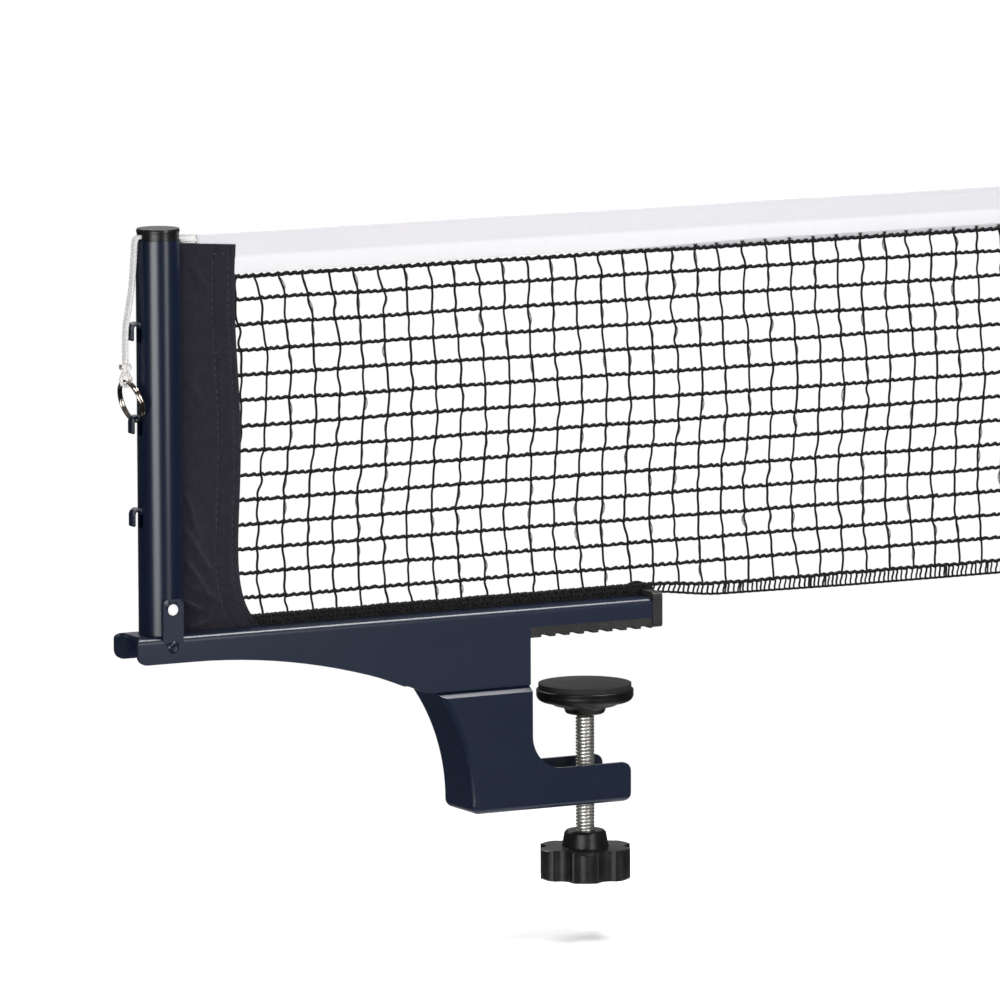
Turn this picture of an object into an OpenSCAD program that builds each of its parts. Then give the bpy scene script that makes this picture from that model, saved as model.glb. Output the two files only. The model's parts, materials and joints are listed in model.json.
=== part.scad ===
// Table tennis net clamp: a screw clamp with its net post, tension cord and a stretch of net.
// X runs along the net towards the middle of the table, Y across the net and Z up.
// The origin is on the axis of the clamp screw, level with the table top.

/* [Table and net heights] */
// Thickness of the table top that the clamp is closed on
table_t = 19.6; // [14:0.2:26]
// Height of the net's top edge above the table
net_height = 152.5; // [148:0.5:160]
// Distance from the edge of the table to the outside of the post
post_reach = 151; // [145:0.5:156]

/* [Sheet steel] */
// Thickness of the steel sheet of the bracket and the jaw
sheet_t = 1.5; // [1.2:0.1:1.8]
// Outer radius of the folds
fold_r = 2.2; // [1.9:0.1:2.6]

/* [Upper bracket] */
// Outer width of the bracket across the net
bracket_w = 20; // [19.6:0.2:22]
// Height of the bracket's top above the table
bracket_top = 11; // [10:0.5:13]
// Reach of the bracket over the table, past the screw
bracket_reach = 22.6; // [20:0.2:26]
// Length of the bracket past the outside of the post
bracket_tail = 5.9; // [4:0.1:8]
// Depth of the flanges at the post
rail_depth = 9.5; // [9:0.5:10.5]
// Gap between the flanges and the table
flange_gap = 3.9; // [3:0.1:5]
// Depth of the flanges below the table top, where the jaw joins
joint_drop = 17; // [15:0.5:19]
// Radius of the arch under the arm
arch_r = 245; // [225:5:270]
// Radius of the flange's lower corner at the free end
tail_r = 3.5; // [2:0.5:4.5]
// Distance that the web stops short of the flange's free end
web_setback = 2.6; // [1:0.2:4]

/* [Ear] */
// Width of the ear
ear_w = 8; // [7:0.5:9]
// Height of the ear above the bracket's top
ear_h = 13.3; // [12:0.1:15]
// Diameter of the hole in the ear
ear_hole_d = 4.4; // [4:0.1:5]
// Height of the hole above the bracket's top
ear_hole_h = 9.6; // [8:0.2:10]
// Radius of the ear's corners
ear_r = 1.8; // [1:0.1:2.2]

/* [Lower jaw] */
// Outer width of the jaw across the net
jaw_w = 23; // [22.6:0.2:25]
// Distance from the screw's axis to the wall that the table edge meets
throat_depth = 27.5; // [25:0.5:30]
// Depth of the throat's floor below the table top
throat_h = 48; // [46:0.5:52]
// Height of the jaw's arm
arm_h = 14.5; // [13:0.5:16]
// Reach of the arm past the screw's axis
arm_reach = 12.7; // [11:0.1:15]
// Width of the jaw's neck at its foot
neck_w = 24.6; // [22:0.2:27]
// Radius of the jaw's curved back
back_r = 72; // [68:1:80]
// Radius of the corner between the throat and the arm
throat_r = 12.5; // [10:0.5:14]
// Radius of the arm's corners
arm_r = 3.3; // [2.8:0.1:4]
// Height of the step where the jaw narrows to enter the bracket
step_h = 2.2; // [1.8:0.1:3.4]
// Height of the jaw's tongue inside the bracket
tongue_h = 6; // [4:0.5:8]

/* [Post] */
// Outer diameter of the post
post_d = 16; // [15.6:0.1:16.4]
// Wall of the post
post_wall = 1.2; // [1:0.1:1.3]
// Drop of the post's top edge below the top of the net
post_drop = 1.3; // [0.5:0.1:2]
// Height of the post's foot above the flange's lower edge
foot_gap = 1; // [0.5:0.1:2]
// Width of the slit that the net passes through
slit_w = 3.4; // [3.2:0.1:4]
// Height of the foot rivet above the flange's lower edge
rivet_h = 5.7; // [5:0.1:6.5]

/* [Hooks] */
// Height of the highest hook's crown above the table
hook_top = 122.5; // [118:0.5:126]
// Spacing of the hooks
hook_pitch = 33; // [28:0.5:35]
// Number of hooks
hook_count = 3; // [1:1:3]
// Width of a hook
hook_w = 3.2; // [2.6:0.1:4]
// Gap between a hook and the post
hook_gap = 2.4; // [2.3:0.1:2.8]
// Length of a hook's straight leg
hook_leg = 3.6; // [3:0.1:4.5]

/* [Post cap] */
// Diameter of the cap's band
cap_d = 15.4; // [15:0.1:16]
// Height of the cap above the post's edge
cap_h = 4; // [3.6:0.1:5]
// Thickness of the cap's top plate
cap_plate = 1.4; // [1:0.1:1.8]
// Depth of the plug inside the post
plug_depth = 6; // [4:0.5:8]
// Width of the notch that the cord runs through
notch_w = 3.8; // [3.6:0.1:4.6]

/* [Rivet and peg] */
// Diameter of the rivet's shank
rivet_d = 3.6; // [3.2:0.1:4]
// Diameter of the rivet's rolled heads
rivet_head_d = 4.8; // [4.6:0.1:5.6]
// Thickness of a rivet head
rivet_head_t = 0.5; // [0.3:0.1:0.8]
// Diameter of the hole through the rivet
rivet_bore_d = 1.8; // [1.2:0.1:2.4]
// Diameter of the locating peg
peg_d = 4; // [3.6:0.1:4]
// Depth of the peg's face below the ear's face
peg_recess = 0.3; // [0.1:0.1:0.6]

/* [Table liner] */
// Width of the liner's lip below the flanges
lip_w = 19.4; // [18.6:0.2:19.6]
// Length of a rib on the liner's underside
rib_l = 2.3; // [2:0.1:3]
// Spacing of the ribs
rib_pitch = 5.85; // [5:0.05:7]
// Distance from the screw's axis to the centre of the rib beside it
rib_shift = 0.7; // [0:0.1:0.8]
// Height of the ribs
rib_h = 0.8; // [0.5:0.1:1.2]
// Thickness of the end cap's plate
endcap_t = 3.9; // [3:0.1:5]
// Height that the end cap stands above the bracket
endcap_rise = 2; // [1:0.1:3]
// Depth of the end cap's plug inside the bracket
endcap_plug = 4; // [3:0.5:6]
// Width of the slot in the end cap's rim that the net's lower edge lies in
net_slot_w = 3; // [2.4:0.2:5]

/* [Screw and nut] */
// Outer diameter of the screw
screw_d = 6.8; // [6.4:0.1:7.4]
// Diameter of the screw's tip that the pad turns on
tip_d = 5; // [4.6:0.1:5.4]
// Distance from the jaw's underside to the top of the knob's hub
screw_show = 11; // [9:0.5:14]
// Width across the nut's flats
nut_w = 13; // [12:0.5:14]
// Height of the nut
nut_h = 8; // [6:0.5:9]
// Radial clearance of the screw in the nut and in the pad
running_clear = 0.1; // [0.06:0.01:0.1]
// Depth of the screw's end inside the knob, above the knob's underside
screw_cover = 3; // [2:0.5:5]

/* [Pressure pad] */
// Diameter of the pad
pad_d = 35.4; // [32:0.2:38]
// Thickness of the rubber facing
facing_t = 2; // [1.6:0.1:2.6]
// Height of the pad's rim below the facing
rim_h = 4.6; // [4:0.1:5.6]
// Height of the conical underside
cone_h = 2; // [1.5:0.1:3]
// Radius of the rim's lower edge
rim_r = 2.4; // [1:0.1:3]
// Diameter of the pad's hub
hub_d = 15.7; // [14:0.1:17]
// Height of the hub
hub_h = 2.5; // [2:0.1:3]
// Depth of the neck between the hub's flange and the cone
hub_waist = 0.9; // [0.4:0.1:1.2]
// Diameter of the circlip that keeps the pad on the screw
clip_d = 8; // [7.6:0.2:8.6]
// Thickness of the circlip
clip_t = 0.8; // [0.6:0.1:1]

/* [Knob] */
// Diameter of the knob over its lobes
knob_d = 36; // [32:0.5:40]
// Thickness of the knob's star
star_h = 11.2; // [9:0.2:13]
// Number of lobes
lobe_count = 6; // [5:1:6]
// Diameter of a lobe
lobe_d = 10; // [8.5:0.1:10.5]
// Diameter of a hollow between two lobes
valley_d = 9; // [8:0.1:10]
// Radius of the star's outer edges
star_r = 1.4; // [0.6:0.1:2]
// Diameter of the hub where it meets the star
knob_hub_d = 17.1; // [16:0.1:18]
// Diameter of the hub at its top
knob_neck_d = 15.2; // [14:0.1:16]
// Height of the hub above the star
knob_hub_h = 6; // [5:0.5:8]
// Turn of the star about the screw
knob_turn = 2; // [0:1:59]

/* [Split ring] */
// Outer diameter of the ring
ring_d = 16; // [14.5:0.1:17]
// Diameter of the ring's wire
ring_wire = 0.95; // [0.8:0.05:1]
// Lean of the ring away from the post
ring_lean = 15; // [12:1:20]
// Twist of the ring about the vertical
ring_twist = 5; // [0:1:5]

/* [Tension cord] */
// Diameter of the cord
cord_d = 1.6; // [1.3:0.1:1.7]
// Diameter of the knot
knot_d = 4.4; // [4:0.1:5]

/* [Net] */
// Thickness of the net's mesh
mesh_t = 1.1; // [0.8:0.1:1.2]
// Width of a mesh cord
mesh_cord = 1; // [0.7:0.1:1.2]
// Number of gaps up the net
mesh_rows = 9; // [6:1:9]
// Number of gaps along the net
mesh_cols = 33; // [10:1:33]
// Length of the mesh
mesh_len = 322; // [200:1:360]
// Width of the top tape
tape_w = 15; // [12:0.5:18]
// Thickness of the top tape
tape_t = 1.2; // [1:0.1:1.4]
// Height of the ladder edge along the bottom
selvedge_h = 4.2; // [3:0.2:6]
// Sag of the net's lower edge past the end of the clamp
net_sag = 2.6; // [0:0.2:4]
// Length over which the lower edge sags
sag_run = 30; // [20:5:60]
// Thickness of the sleeve, both layers together
sleeve_t = 2.2; // [1.8:0.1:2.4]
// Drop of the sleeve's top edge below the top of the tape
sleeve_drop = 4; // [3.6:0.1:6]
// Distance from the post's axis to the sleeve's edge at the top
sleeve_reach = 30.4; // [26:0.2:36]
// Extra reach of the sleeve at the bottom
sleeve_flare = 4.8; // [2:0.2:7]
// Distance from the post's axis to the end of the tape
tape_start = 15; // [13:0.5:20]
// Diameter of the rods in the hems
rod_d = 5; // [4:0.1:5.4]
// Thickness of the fabric round a rod
hem_t = 0.8; // [0.6:0.1:1]
// Width of the hem at the far end
far_hem = 20; // [16:0.5:26]

/* [Hidden] */

$fn = 64;
// Clearance between fixed pieces that slide together when they are assembled
slip = 0.1;
// Distance that a cut runs past the face it goes through
over = 1;

navy = "#2a3347";
dark_navy = "#1f2a42";
black = "#2b2a29";
grey = "#414140";
white = "#f0f0f2";
zinc = "#b9b6ae";
nickel = "#c9c4ba";
cloth = "#2c282f";

throat_x = -throat_depth;
post_x = throat_x - post_reach + post_d / 2;
post_top = net_height - post_drop;
tail_x = post_x - post_d / 2 - bracket_tail;
rail_z = bracket_top - rail_depth;
joint_z = -joint_drop;
arch_x = post_x + post_d / 2;
arch_z = rail_z - arch_r;
arch_end_x = arch_x + sqrt(pow(arch_r, 2) - pow(joint_z - arch_z, 2));
arm_top = -throat_h;
jaw_bottom = arm_top - arm_h;
neck_x = throat_x - neck_w;
tongue_w = bracket_w - 2 * sheet_t;
core_w = tongue_w - 2 * slip;
core_top = bracket_top - fold_r - slip;
tongue_top = joint_z + tongue_h;
back_x = neck_x - back_r;
back_z = jaw_bottom + arm_r;
rivet_z = rail_z + rivet_h;
foot_z = rail_z + foot_gap;
peg_z = bracket_top + ear_hole_h;
pad_top = -table_t;
rim_top = pad_top - facing_t;
rim_bottom = rim_top - rim_h;
hub_top = rim_bottom - cone_h;
hub_bottom = hub_top - hub_h;
knob_top = jaw_bottom - screw_show;
star_top = knob_top - knob_hub_h;
star_bottom = star_top - star_h;
screw_end = star_bottom + screw_cover;
// Gaps above the screw's tip, at its shoulder and on each side of the circlip
tip_gap = 2.4;
shoulder_gap = 0.2;
clip_gap = 0.2;
// Thickness of the pad under the circlip
pad_floor = 1.2;
clip_bottom = rim_bottom + pad_floor + clip_gap;
groove_depth = 0.5;
tip_top = rim_top - tip_gap;
tape_bottom = net_height - tape_w;
sleeve_top = net_height - sleeve_drop;
// Gap between the net and the bracket
net_clear = 0.3;
net_bottom = bracket_top + net_clear;
selvedge_top = net_bottom + selvedge_h;
sleeve_x = post_x + sleeve_reach;
mesh_end = sleeve_x + mesh_len;
far_rod_x = mesh_end + far_hem - rod_d / 2 - hem_t;
tape_end = far_rod_x - rod_d / 2 - hem_t;
sag_start = bracket_reach + endcap_t + net_clear;
sag_bottom = net_bottom - net_sag;
knot_x = post_x - 13.2;
knot_z = 106.4;
// Depth of the flats on the knot that the cords end on
knot_flat = 0.5;
knot_high = knot_z + knot_d / 2 - knot_flat;
knot_low = knot_z - knot_d / 2 + knot_flat;

// A solid whose outline is drawn in X and Z, of width w centred on Y
module side_profile(w) {
    rotate([90, 0, 0]) translate([0, 0, -w / 2]) linear_extrude(w) children();
}

// A solid whose outline is drawn in Y and Z, running along X from a to b
module along_x(a, b) {
    translate([a, 0, 0]) rotate([90, 0, 90]) linear_extrude(b - a) children();
}

// A rectangle with its lower left corner at x, y and all four corners rounded
module round_rect(x, y, w, h, r) {
    translate([x + r, y]) square([w - 2 * r, h]);
    translate([x, y + r]) square([w, h - 2 * r]);
    for (cx = [x + r, x + w - r], cy = [y + r, y + h - r]) translate([cx, cy]) circle(r);
}

// The waste outside a rounded corner at the origin, for a corner that points to -X and -Y
module corner_waste(r) {
    difference() {
        translate([-over, -over]) square(r + over);
        translate([r, r]) circle(r);
    }
}

// Tube swept through a list of points
module sweep(path, d, sides) {
    n = len(path);
    function ahead(i) = path[min(i + 1, n - 1)] - path[max(i - 1, 0)];
    function unit(v) = v / norm(v);
    // The side vector is kept square to the route, starting from a fixed one
    function sideways(t) = unit(cross(t, abs(t.y) < 0.9 ? [0, 1, 0] : [1, 0, 0]));
    rings = [for (i = [0 : n - 1])
        let (t = unit(ahead(i)), s = sideways(t), u = cross(t, s))
        for (k = [0 : sides - 1])
            path[i] + d / 2 * (cos(360 * k / sides) * s + sin(360 * k / sides) * u)];
    walls = [for (i = [0 : n - 2], k = [0 : sides - 1])
        let (a = i * sides + k, b = i * sides + (k + 1) % sides)
        each [[a, b, a + sides], [b, b + sides, a + sides]]];
    start_cap = [for (k = [1 : sides - 2]) [0, k + 1, k]];
    last = (n - 1) * sides;
    end_cap = [for (k = [1 : sides - 2]) [last, last + k, last + k + 1]];
    polyhedron(rings, concat(walls, start_cap, end_cap));
}

// ---- Upper bracket ----

// Side view of the flanges: a rail at the post, an arch under the arm and the root of the jaw
module bracket_outline() {
    difference() {
        polygon([[tail_x, rail_z], [arch_x, rail_z], [arch_x, joint_z], [throat_x, joint_z],
            [throat_x, flange_gap], [bracket_reach, flange_gap], [bracket_reach, bracket_top],
            [tail_x, bracket_top]]);
        translate([arch_x, arch_z]) circle(arch_r, $fn = 360);
        translate([tail_x, rail_z]) corner_waste(tail_r);
        translate([tail_x, bracket_top]) mirror([0, 1]) corner_waste(fold_r);
    }
}

module channel_section(w, top, depth, r) {
    difference() {
        round_rect(-w / 2, top - depth, w, depth, r);
        round_rect(-w / 2 + sheet_t, top - depth - r, w - 2 * sheet_t, depth + r - sheet_t,
            r - sheet_t);
    }
}

// One flange is left standing beside the post
module ear() {
    difference() {
        translate([post_x - ear_w / 2, -bracket_w / 2, bracket_top - fold_r])
            cube([ear_w, sheet_t, ear_h + fold_r]);
        for (side = [-1, 1])
            translate([post_x + side * ear_w / 2, 0, bracket_top + ear_h])
                side_profile(bracket_w + 2 * over)
                    mirror([side > 0 ? 1 : 0, 0]) mirror([0, 1]) corner_waste(ear_r);
    }
}

module upper_bracket() {
    channel_h = bracket_top - joint_z + 2 * fold_r;
    color(navy)
    difference() {
        union() {
            intersection() {
                side_profile(bracket_w + 2 * over) bracket_outline();
                along_x(tail_x - over, bracket_reach + over)
                    channel_section(bracket_w, bracket_top, channel_h, fold_r);
            }
            ear();
        }
        // Window for the post, and the end of the web set back between the flanges
        translate([post_x, 0, bracket_top - sheet_t - over])
            cylinder(d = post_d + 2 * slip, h = sheet_t + 2 * over);
        translate([tail_x - over, -tongue_w / 2, bracket_top - sheet_t - over])
            cube([web_setback + over, tongue_w, sheet_t + 2 * over]);
        // Holes for the rivet and the peg
        translate([post_x, 0, rivet_z]) rotate([90, 0, 0])
            cylinder(d = rivet_d, h = bracket_w + 2 * over, center = true);
        translate([post_x, -bracket_w / 2 + sheet_t + over, peg_z]) rotate([90, 0, 0])
            cylinder(d = ear_hole_d, h = sheet_t + 2 * over);
    }
}

// ---- Lower jaw ----

// Region above the jaw's foot and right of its curved back, whose radius is r, as far as x and z
module behind_back(r, x, z) {
    difference() {
        translate([back_x, back_z]) square([x - back_x, z - back_z]);
        translate([back_x, back_z]) circle(r, $fn = 180);
    }
}

// Side view of the jaw: the neck, the arm and the rounded corner of the throat between them
module jaw_outline() {
    behind_back(back_r, throat_x, tongue_top);
    round_rect(neck_x, jaw_bottom, arm_reach - neck_x, arm_h, arm_r);
    translate([throat_x - over, arm_top - over]) difference() {
        square(throat_r + over);
        translate([throat_r + over, throat_r + over]) circle(throat_r);
    }
}

// Side view of the hollow inside the jaw, which is open to the throat
module jaw_hollow() {
    behind_back(back_r + sheet_t, throat_x + over, tongue_top + over);
    round_rect(neck_x + sheet_t, jaw_bottom + sheet_t, arm_reach - neck_x + throat_r,
        arm_h + throat_r, arm_r - sheet_t);
}

// Cross-section of the jaw, with its step where it enters the bracket
module jaw_section(inset) {
    wide = jaw_w / 2 - inset;
    narrow = tongue_w / 2 - inset;
    low = joint_z - step_h;
    polygon([[-wide, jaw_bottom - over], [wide, jaw_bottom - over], [wide, low],
        [narrow, joint_z], [narrow, tongue_top + 2 * over], [-narrow, tongue_top + 2 * over],
        [-narrow, joint_z], [-wide, low]]);
}

// Waste outside one fold of the jaw, from its back round the foot to the end of the arm
module jaw_fold_waste() {
    foot_turn = 90;
    back_turn = 60;
    translate([back_x, 0, back_z]) rotate([90, 0, 0]) rotate_extrude(angle = back_turn)
        translate([back_r, -jaw_w / 2]) corner_waste(fold_r);
    translate([neck_x + arm_r, 0, back_z]) rotate([90, 0, 0]) rotate(180)
        rotate_extrude(angle = foot_turn)
            translate([arm_r, -jaw_w / 2]) mirror([1, 0]) corner_waste(fold_r);
    along_x(neck_x + arm_r, arm_reach + over)
        translate([-jaw_w / 2, jaw_bottom]) corner_waste(fold_r);
}

module lower_jaw() {
    hole_slack = 1.2;
    color(dark_navy)
    difference() {
        intersection() {
            side_profile(jaw_w + 2 * over) jaw_outline();
            along_x(back_x, arm_reach + over) jaw_section(0);
        }
        intersection() {
            side_profile(jaw_w + 2 * over) jaw_hollow();
            along_x(back_x, arm_reach + throat_r) jaw_section(sheet_t);
        }
        jaw_fold_waste();
        mirror([0, 1, 0]) jaw_fold_waste();
        translate([0, 0, jaw_bottom - over])
            cylinder(d = screw_d + hole_slack, h = sheet_t + 2 * over);
    }
}

module jaw_nut() {
    color(zinc)
    translate([0, 0, jaw_bottom + sheet_t])
    difference() {
        cylinder(d = nut_w / cos(30), h = nut_h, $fn = 6);
        translate([0, 0, -over])
            cylinder(d = screw_d + 2 * running_clear, h = nut_h + 2 * over);
    }
}

// ---- Post ----

// Outline of one hook, seen along Y: u runs out from the post and v runs up
module hook_outline() {
    crown_r = hook_gap / 2 + post_wall;
    difference() {
        union() {
            translate([hook_gap / 2, 0]) circle(crown_r);
            translate([hook_gap, -hook_leg]) square([post_wall, hook_leg]);
            translate([hook_gap + post_wall / 2, -hook_leg]) circle(post_wall / 2);
        }
        translate([hook_gap / 2, 0]) circle(hook_gap / 2);
        translate([-crown_r, -crown_r - over]) square([crown_r + hook_gap, crown_r + over]);
    }
}

// Heights of the hooks' arch centres
hook_zs = [for (i = [0 : hook_count - 1]) hook_top - hook_gap / 2 - post_wall - i * hook_pitch];

module hook(z) {
    translate([post_x - post_d / 2, 0, z])
        rotate([90, 0, 180]) translate([0, 0, -hook_w / 2])
            linear_extrude(hook_w) hook_outline();
}

// Hole that the strip of a hook was lanced from
module hook_window(z) {
    side_gap = 0.2;
    drop = hook_leg + post_wall + side_gap;
    translate([post_x - post_d / 2 - over, -hook_w / 2 - side_gap, z - drop])
        cube([post_wall + 2 * over, hook_w + 2 * side_gap, drop]);
}

module post_tube() {
    tube_h = post_top - foot_z;
    color(dark_navy)
    union() {
        difference() {
            translate([post_x, 0, foot_z]) difference() {
                cylinder(d = post_d, h = tube_h);
                translate([0, 0, -over])
                    cylinder(d = post_d - 2 * post_wall, h = tube_h + 2 * over);
            }
            translate([post_x, -slit_w / 2, bracket_top])
                cube([post_d, slit_w, post_top]);
            for (z = hook_zs) hook_window(z);
            translate([post_x, 0, rivet_z]) rotate([90, 0, 0])
                cylinder(d = rivet_d, h = post_d + 2 * over, center = true);
            translate([post_x, 0, peg_z]) rotate([90, 0, 0]) cylinder(d = peg_d, h = post_d);
        }
        for (z = hook_zs) hook(z);
    }
}

module foot_rivet() {
    color(navy)
    translate([post_x, 0, rivet_z]) rotate([90, 0, 0])
    difference() {
        union() {
            cylinder(d = rivet_d, h = bracket_w, center = true);
            for (side = [-1, 1])
                translate([0, 0, side * (bracket_w + rivet_head_t) / 2])
                    cylinder(d = rivet_head_d, h = rivet_head_t, center = true);
        }
        cylinder(d = rivet_bore_d, h = bracket_w + 2 * rivet_head_t + 2 * over, center = true);
    }
}

module locating_peg() {
    past_wall = 0.6;
    color(white)
    translate([post_x, -bracket_w / 2 + peg_recess, peg_z]) rotate([-90, 0, 0])
        cylinder(d = peg_d, h = (bracket_w - post_d) / 2 + post_wall + past_wall - peg_recess);
}

module post_cap() {
    plug_d = post_d - 2 * post_wall - 2 * slip;
    lip = 0.2;
    bevel = 0.4;
    color(black)
    difference() {
        translate([post_x, 0, post_top]) union() {
            cylinder(d = cap_d - 2 * lip, h = cap_h);
            translate([0, 0, cap_h - cap_plate]) cylinder(d = cap_d, h = cap_plate - bevel);
            translate([0, 0, -plug_depth]) cylinder(d = plug_d, h = plug_depth);
        }
        // Channel for the cord, from the slit to the notch on the outside
        translate([post_x - post_d, -notch_w / 2, post_top - plug_depth - over])
            cube([2 * post_d, notch_w, plug_depth + over + cap_h - cap_plate]);
    }
}

// ---- Liner and end cap ----

// Starts of the grooves between the liner's ribs
groove_l = rib_pitch - rib_l;
groove_xs = [for (k = [-8 : 8]) let (x = rib_l / 2 - rib_shift + k * rib_pitch)
    if (x > throat_x + rib_l && x + groove_l < bracket_reach - slip) x];

module table_liner() {
    color(grey)
    difference() {
        union() {
            translate([throat_x, -lip_w / 2, 0])
                cube([bracket_reach - throat_x, lip_w, flange_gap]);
            translate([throat_x + over, -core_w / 2, flange_gap - over])
                cube([bracket_reach - endcap_plug - slip - throat_x - over, core_w,
                    core_top - flange_gap + over]);
        }
        for (x = groove_xs) translate([x, -lip_w / 2 - over, -over])
            cube([groove_l, lip_w + 2 * over, rib_h + over]);
    }
}

module liner_end_cap() {
    side_lip = 0.3;
    lift = 0.2;
    plate_w = bracket_w + 2 * side_lip;
    plate_r = 1.5;
    color(grey)
    difference() {
        union() {
            along_x(bracket_reach, bracket_reach + endcap_t)
                round_rect(-plate_w / 2, lift, plate_w, bracket_top + endcap_rise - lift, plate_r);
            translate([bracket_reach - endcap_plug, -core_w / 2, flange_gap + slip])
                cube([endcap_plug + over, core_w, core_top - flange_gap - slip]);
        }
        translate([bracket_reach - over, -net_slot_w / 2, bracket_top])
            cube([endcap_t + 2 * over, net_slot_w, endcap_rise + over]);
    }
}

// ---- Screw, pad and knob ----

module clamp_screw() {
    shoulder = hub_bottom - shoulder_gap;
    color(zinc)
    difference() {
        union() {
            translate([0, 0, screw_end]) cylinder(d = screw_d, h = shoulder - screw_end);
            translate([0, 0, shoulder - over]) cylinder(d = tip_d, h = tip_top - shoulder + over);
        }
        translate([0, 0, clip_bottom]) difference() {
            cylinder(d = tip_d + 2 * over, h = clip_t);
            translate([0, 0, -over])
                cylinder(d = tip_d - 2 * groove_depth, h = clip_t + 2 * over);
        }
    }
}

module pad_circlip() {
    opening = 1.6;
    color(zinc)
    translate([0, 0, clip_bottom]) difference() {
        cylinder(d = clip_d, h = clip_t);
        translate([0, 0, -over]) cylinder(d = tip_d - 2 * groove_depth, h = clip_t + 2 * over);
        translate([0, -opening / 2, -over]) cube([clip_d, opening, clip_t + 2 * over]);
    }
}

// Half section of the pad, with r to the right and z up
module pad_profile() {
    flange_h = 0.6 * hub_h;
    flange_bevel = 0.5;
    waist_r = hub_d / 2 - hub_waist;
    difference() {
        polygon([[0, rim_top], [pad_d / 2, rim_top], [pad_d / 2, rim_bottom],
            [pad_d / 2 - rim_r, rim_bottom], [waist_r, hub_top], [waist_r, hub_bottom + flange_h],
            [hub_d / 2, hub_bottom + flange_h - flange_bevel],
            [hub_d / 2, hub_bottom + flange_bevel],
            [hub_d / 2 - flange_bevel, hub_bottom], [0, hub_bottom]]);
        translate([pad_d / 2, rim_bottom]) mirror([1, 0]) corner_waste(rim_r);
    }
}

module pressure_pad() {
    pocket_d = clip_d + 4 * clip_gap;
    color(black)
    difference() {
        rotate_extrude() pad_profile();
        // Bore for the screw's tip, and the pocket that the circlip turns in
        translate([0, 0, hub_bottom - over])
            cylinder(d = tip_d + 2 * running_clear, h = rim_top - hub_bottom);
        translate([0, 0, clip_bottom - clip_gap])
            cylinder(d = pocket_d, h = rim_top - clip_bottom + clip_gap + over);
    }
}

module pad_facing() {
    rim_gap = 0.8;
    color("#303030")
    translate([0, 0, rim_top]) cylinder(d = pad_d - 2 * rim_gap, h = facing_t);
}

// Plan of the star: lobes joined by a disc with hollows cut between them
module star_outline() {
    lobe_step = 360 / lobe_count;
    disc_d = knob_d - lobe_d / 3;
    valley_out = 0.6;
    difference() {
        circle(d = disc_d);
        for (i = [0 : lobe_count - 1])
            rotate(lobe_step * (i + 0.5)) translate([knob_d / 2 + valley_out, 0]) circle(d = valley_d);
    }
    for (i = [0 : lobe_count - 1])
        rotate(lobe_step * i) translate([(knob_d - lobe_d) / 2, 0]) circle(d = lobe_d);
}

module knob() {
    neck_r = 0.8;
    color(black)
    difference() {
        union() {
            translate([0, 0, star_bottom]) intersection() {
                rotate(knob_turn) linear_extrude(star_h) star_outline();
                // Rounds the star's outer edges
                rotate_extrude() difference() {
                    square([knob_d / 2, star_h]);
                    translate([knob_d / 2, 0]) mirror([1, 0]) corner_waste(star_r);
                    translate([knob_d / 2, star_h]) mirror([1, 0]) mirror([0, 1])
                        corner_waste(star_r);
                }
            }
            translate([0, 0, star_top]) rotate_extrude() polygon([[0, -over],
                [knob_hub_d / 2, -over], [knob_hub_d / 2, 0],
                [knob_neck_d / 2, knob_hub_h - neck_r],
                [knob_neck_d / 2 - neck_r, knob_hub_h], [0, knob_hub_h]]);
        }
        translate([0, 0, screw_end]) cylinder(d = screw_d, h = knob_top - screw_end + over);
    }
}

// ---- Ring and cord ----

// Where the ring's wire lies in the middle hook, and the highest point of its centre line
ring_foot = [post_x - post_d / 2 - hook_gap / 2, 0, hook_top - hook_pitch - post_wall - ring_wire];
ring_r = (ring_d - ring_wire) / 2;
ring_top = ring_foot + 2 * ring_r * [-sin(ring_lean), 0, cos(ring_lean)];

// The wire goes almost twice round, side by side, with its ends at the top of the ring
module split_ring() {
    turns = 1.92;
    steps = 46;
    wire_gap = 0.04;
    climb = turns * (ring_wire + wire_gap);
    coil = [for (i = [0 : steps]) let (a = 360 * turns * i / steps - 180 * (turns - 1))
        [ring_r * cos(a), ring_r * sin(a), climb * (i / steps - 0.5)]];
    color(nickel)
    translate(ring_foot) rotate([0, 0, ring_twist]) rotate([0, -ring_lean, 0])
        translate([0, 0, ring_r]) rotate([0, 90, 0]) sweep(coil, ring_wire, 8);
}

// The two strands lie side by side; side is -1 for the front strand and 1 for the rear one
function strand_route(side) = [
    [post_x + tape_start, 0, net_height - 1.3 + side * 1],
    [post_x + 12, 0, net_height - 1.3 + side * 1],
    [post_x + 8, 0, net_height - 1.2 + side * 0.9],
    [post_x + 4, side * 0.7, post_top + 1.1 + side * 0.6],
    [post_x, side * 0.9, post_top + 1.2],
    [post_x - 4, side * 0.9, post_top + 1.2],
    [post_x - 7.6, side * 0.9, post_top + 1.2],
    [post_x - 8.8, side * 0.9, post_top + 0.5],
    [post_x - 9.3, side * 0.9, post_top - 1.4],
    [post_x - 9.6, side * 0.9, 145],
    [post_x - 10.6, side * 0.9, 134],
    [post_x - 12.4, side * 0.9, 124],
    [post_x - 13, side * 0.9, 120],
    [post_x - 13.2, side * 0.9, 114],
    [knot_x, side * 0.9, knot_high + 2],
    [knot_x, side * 0.9, knot_high]];

module cord_strand_front() {
    color(white) sweep(strand_route(-1), cord_d, 8);
}

module cord_strand_rear() {
    color(white) sweep(strand_route(1), cord_d, 8);
}

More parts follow.
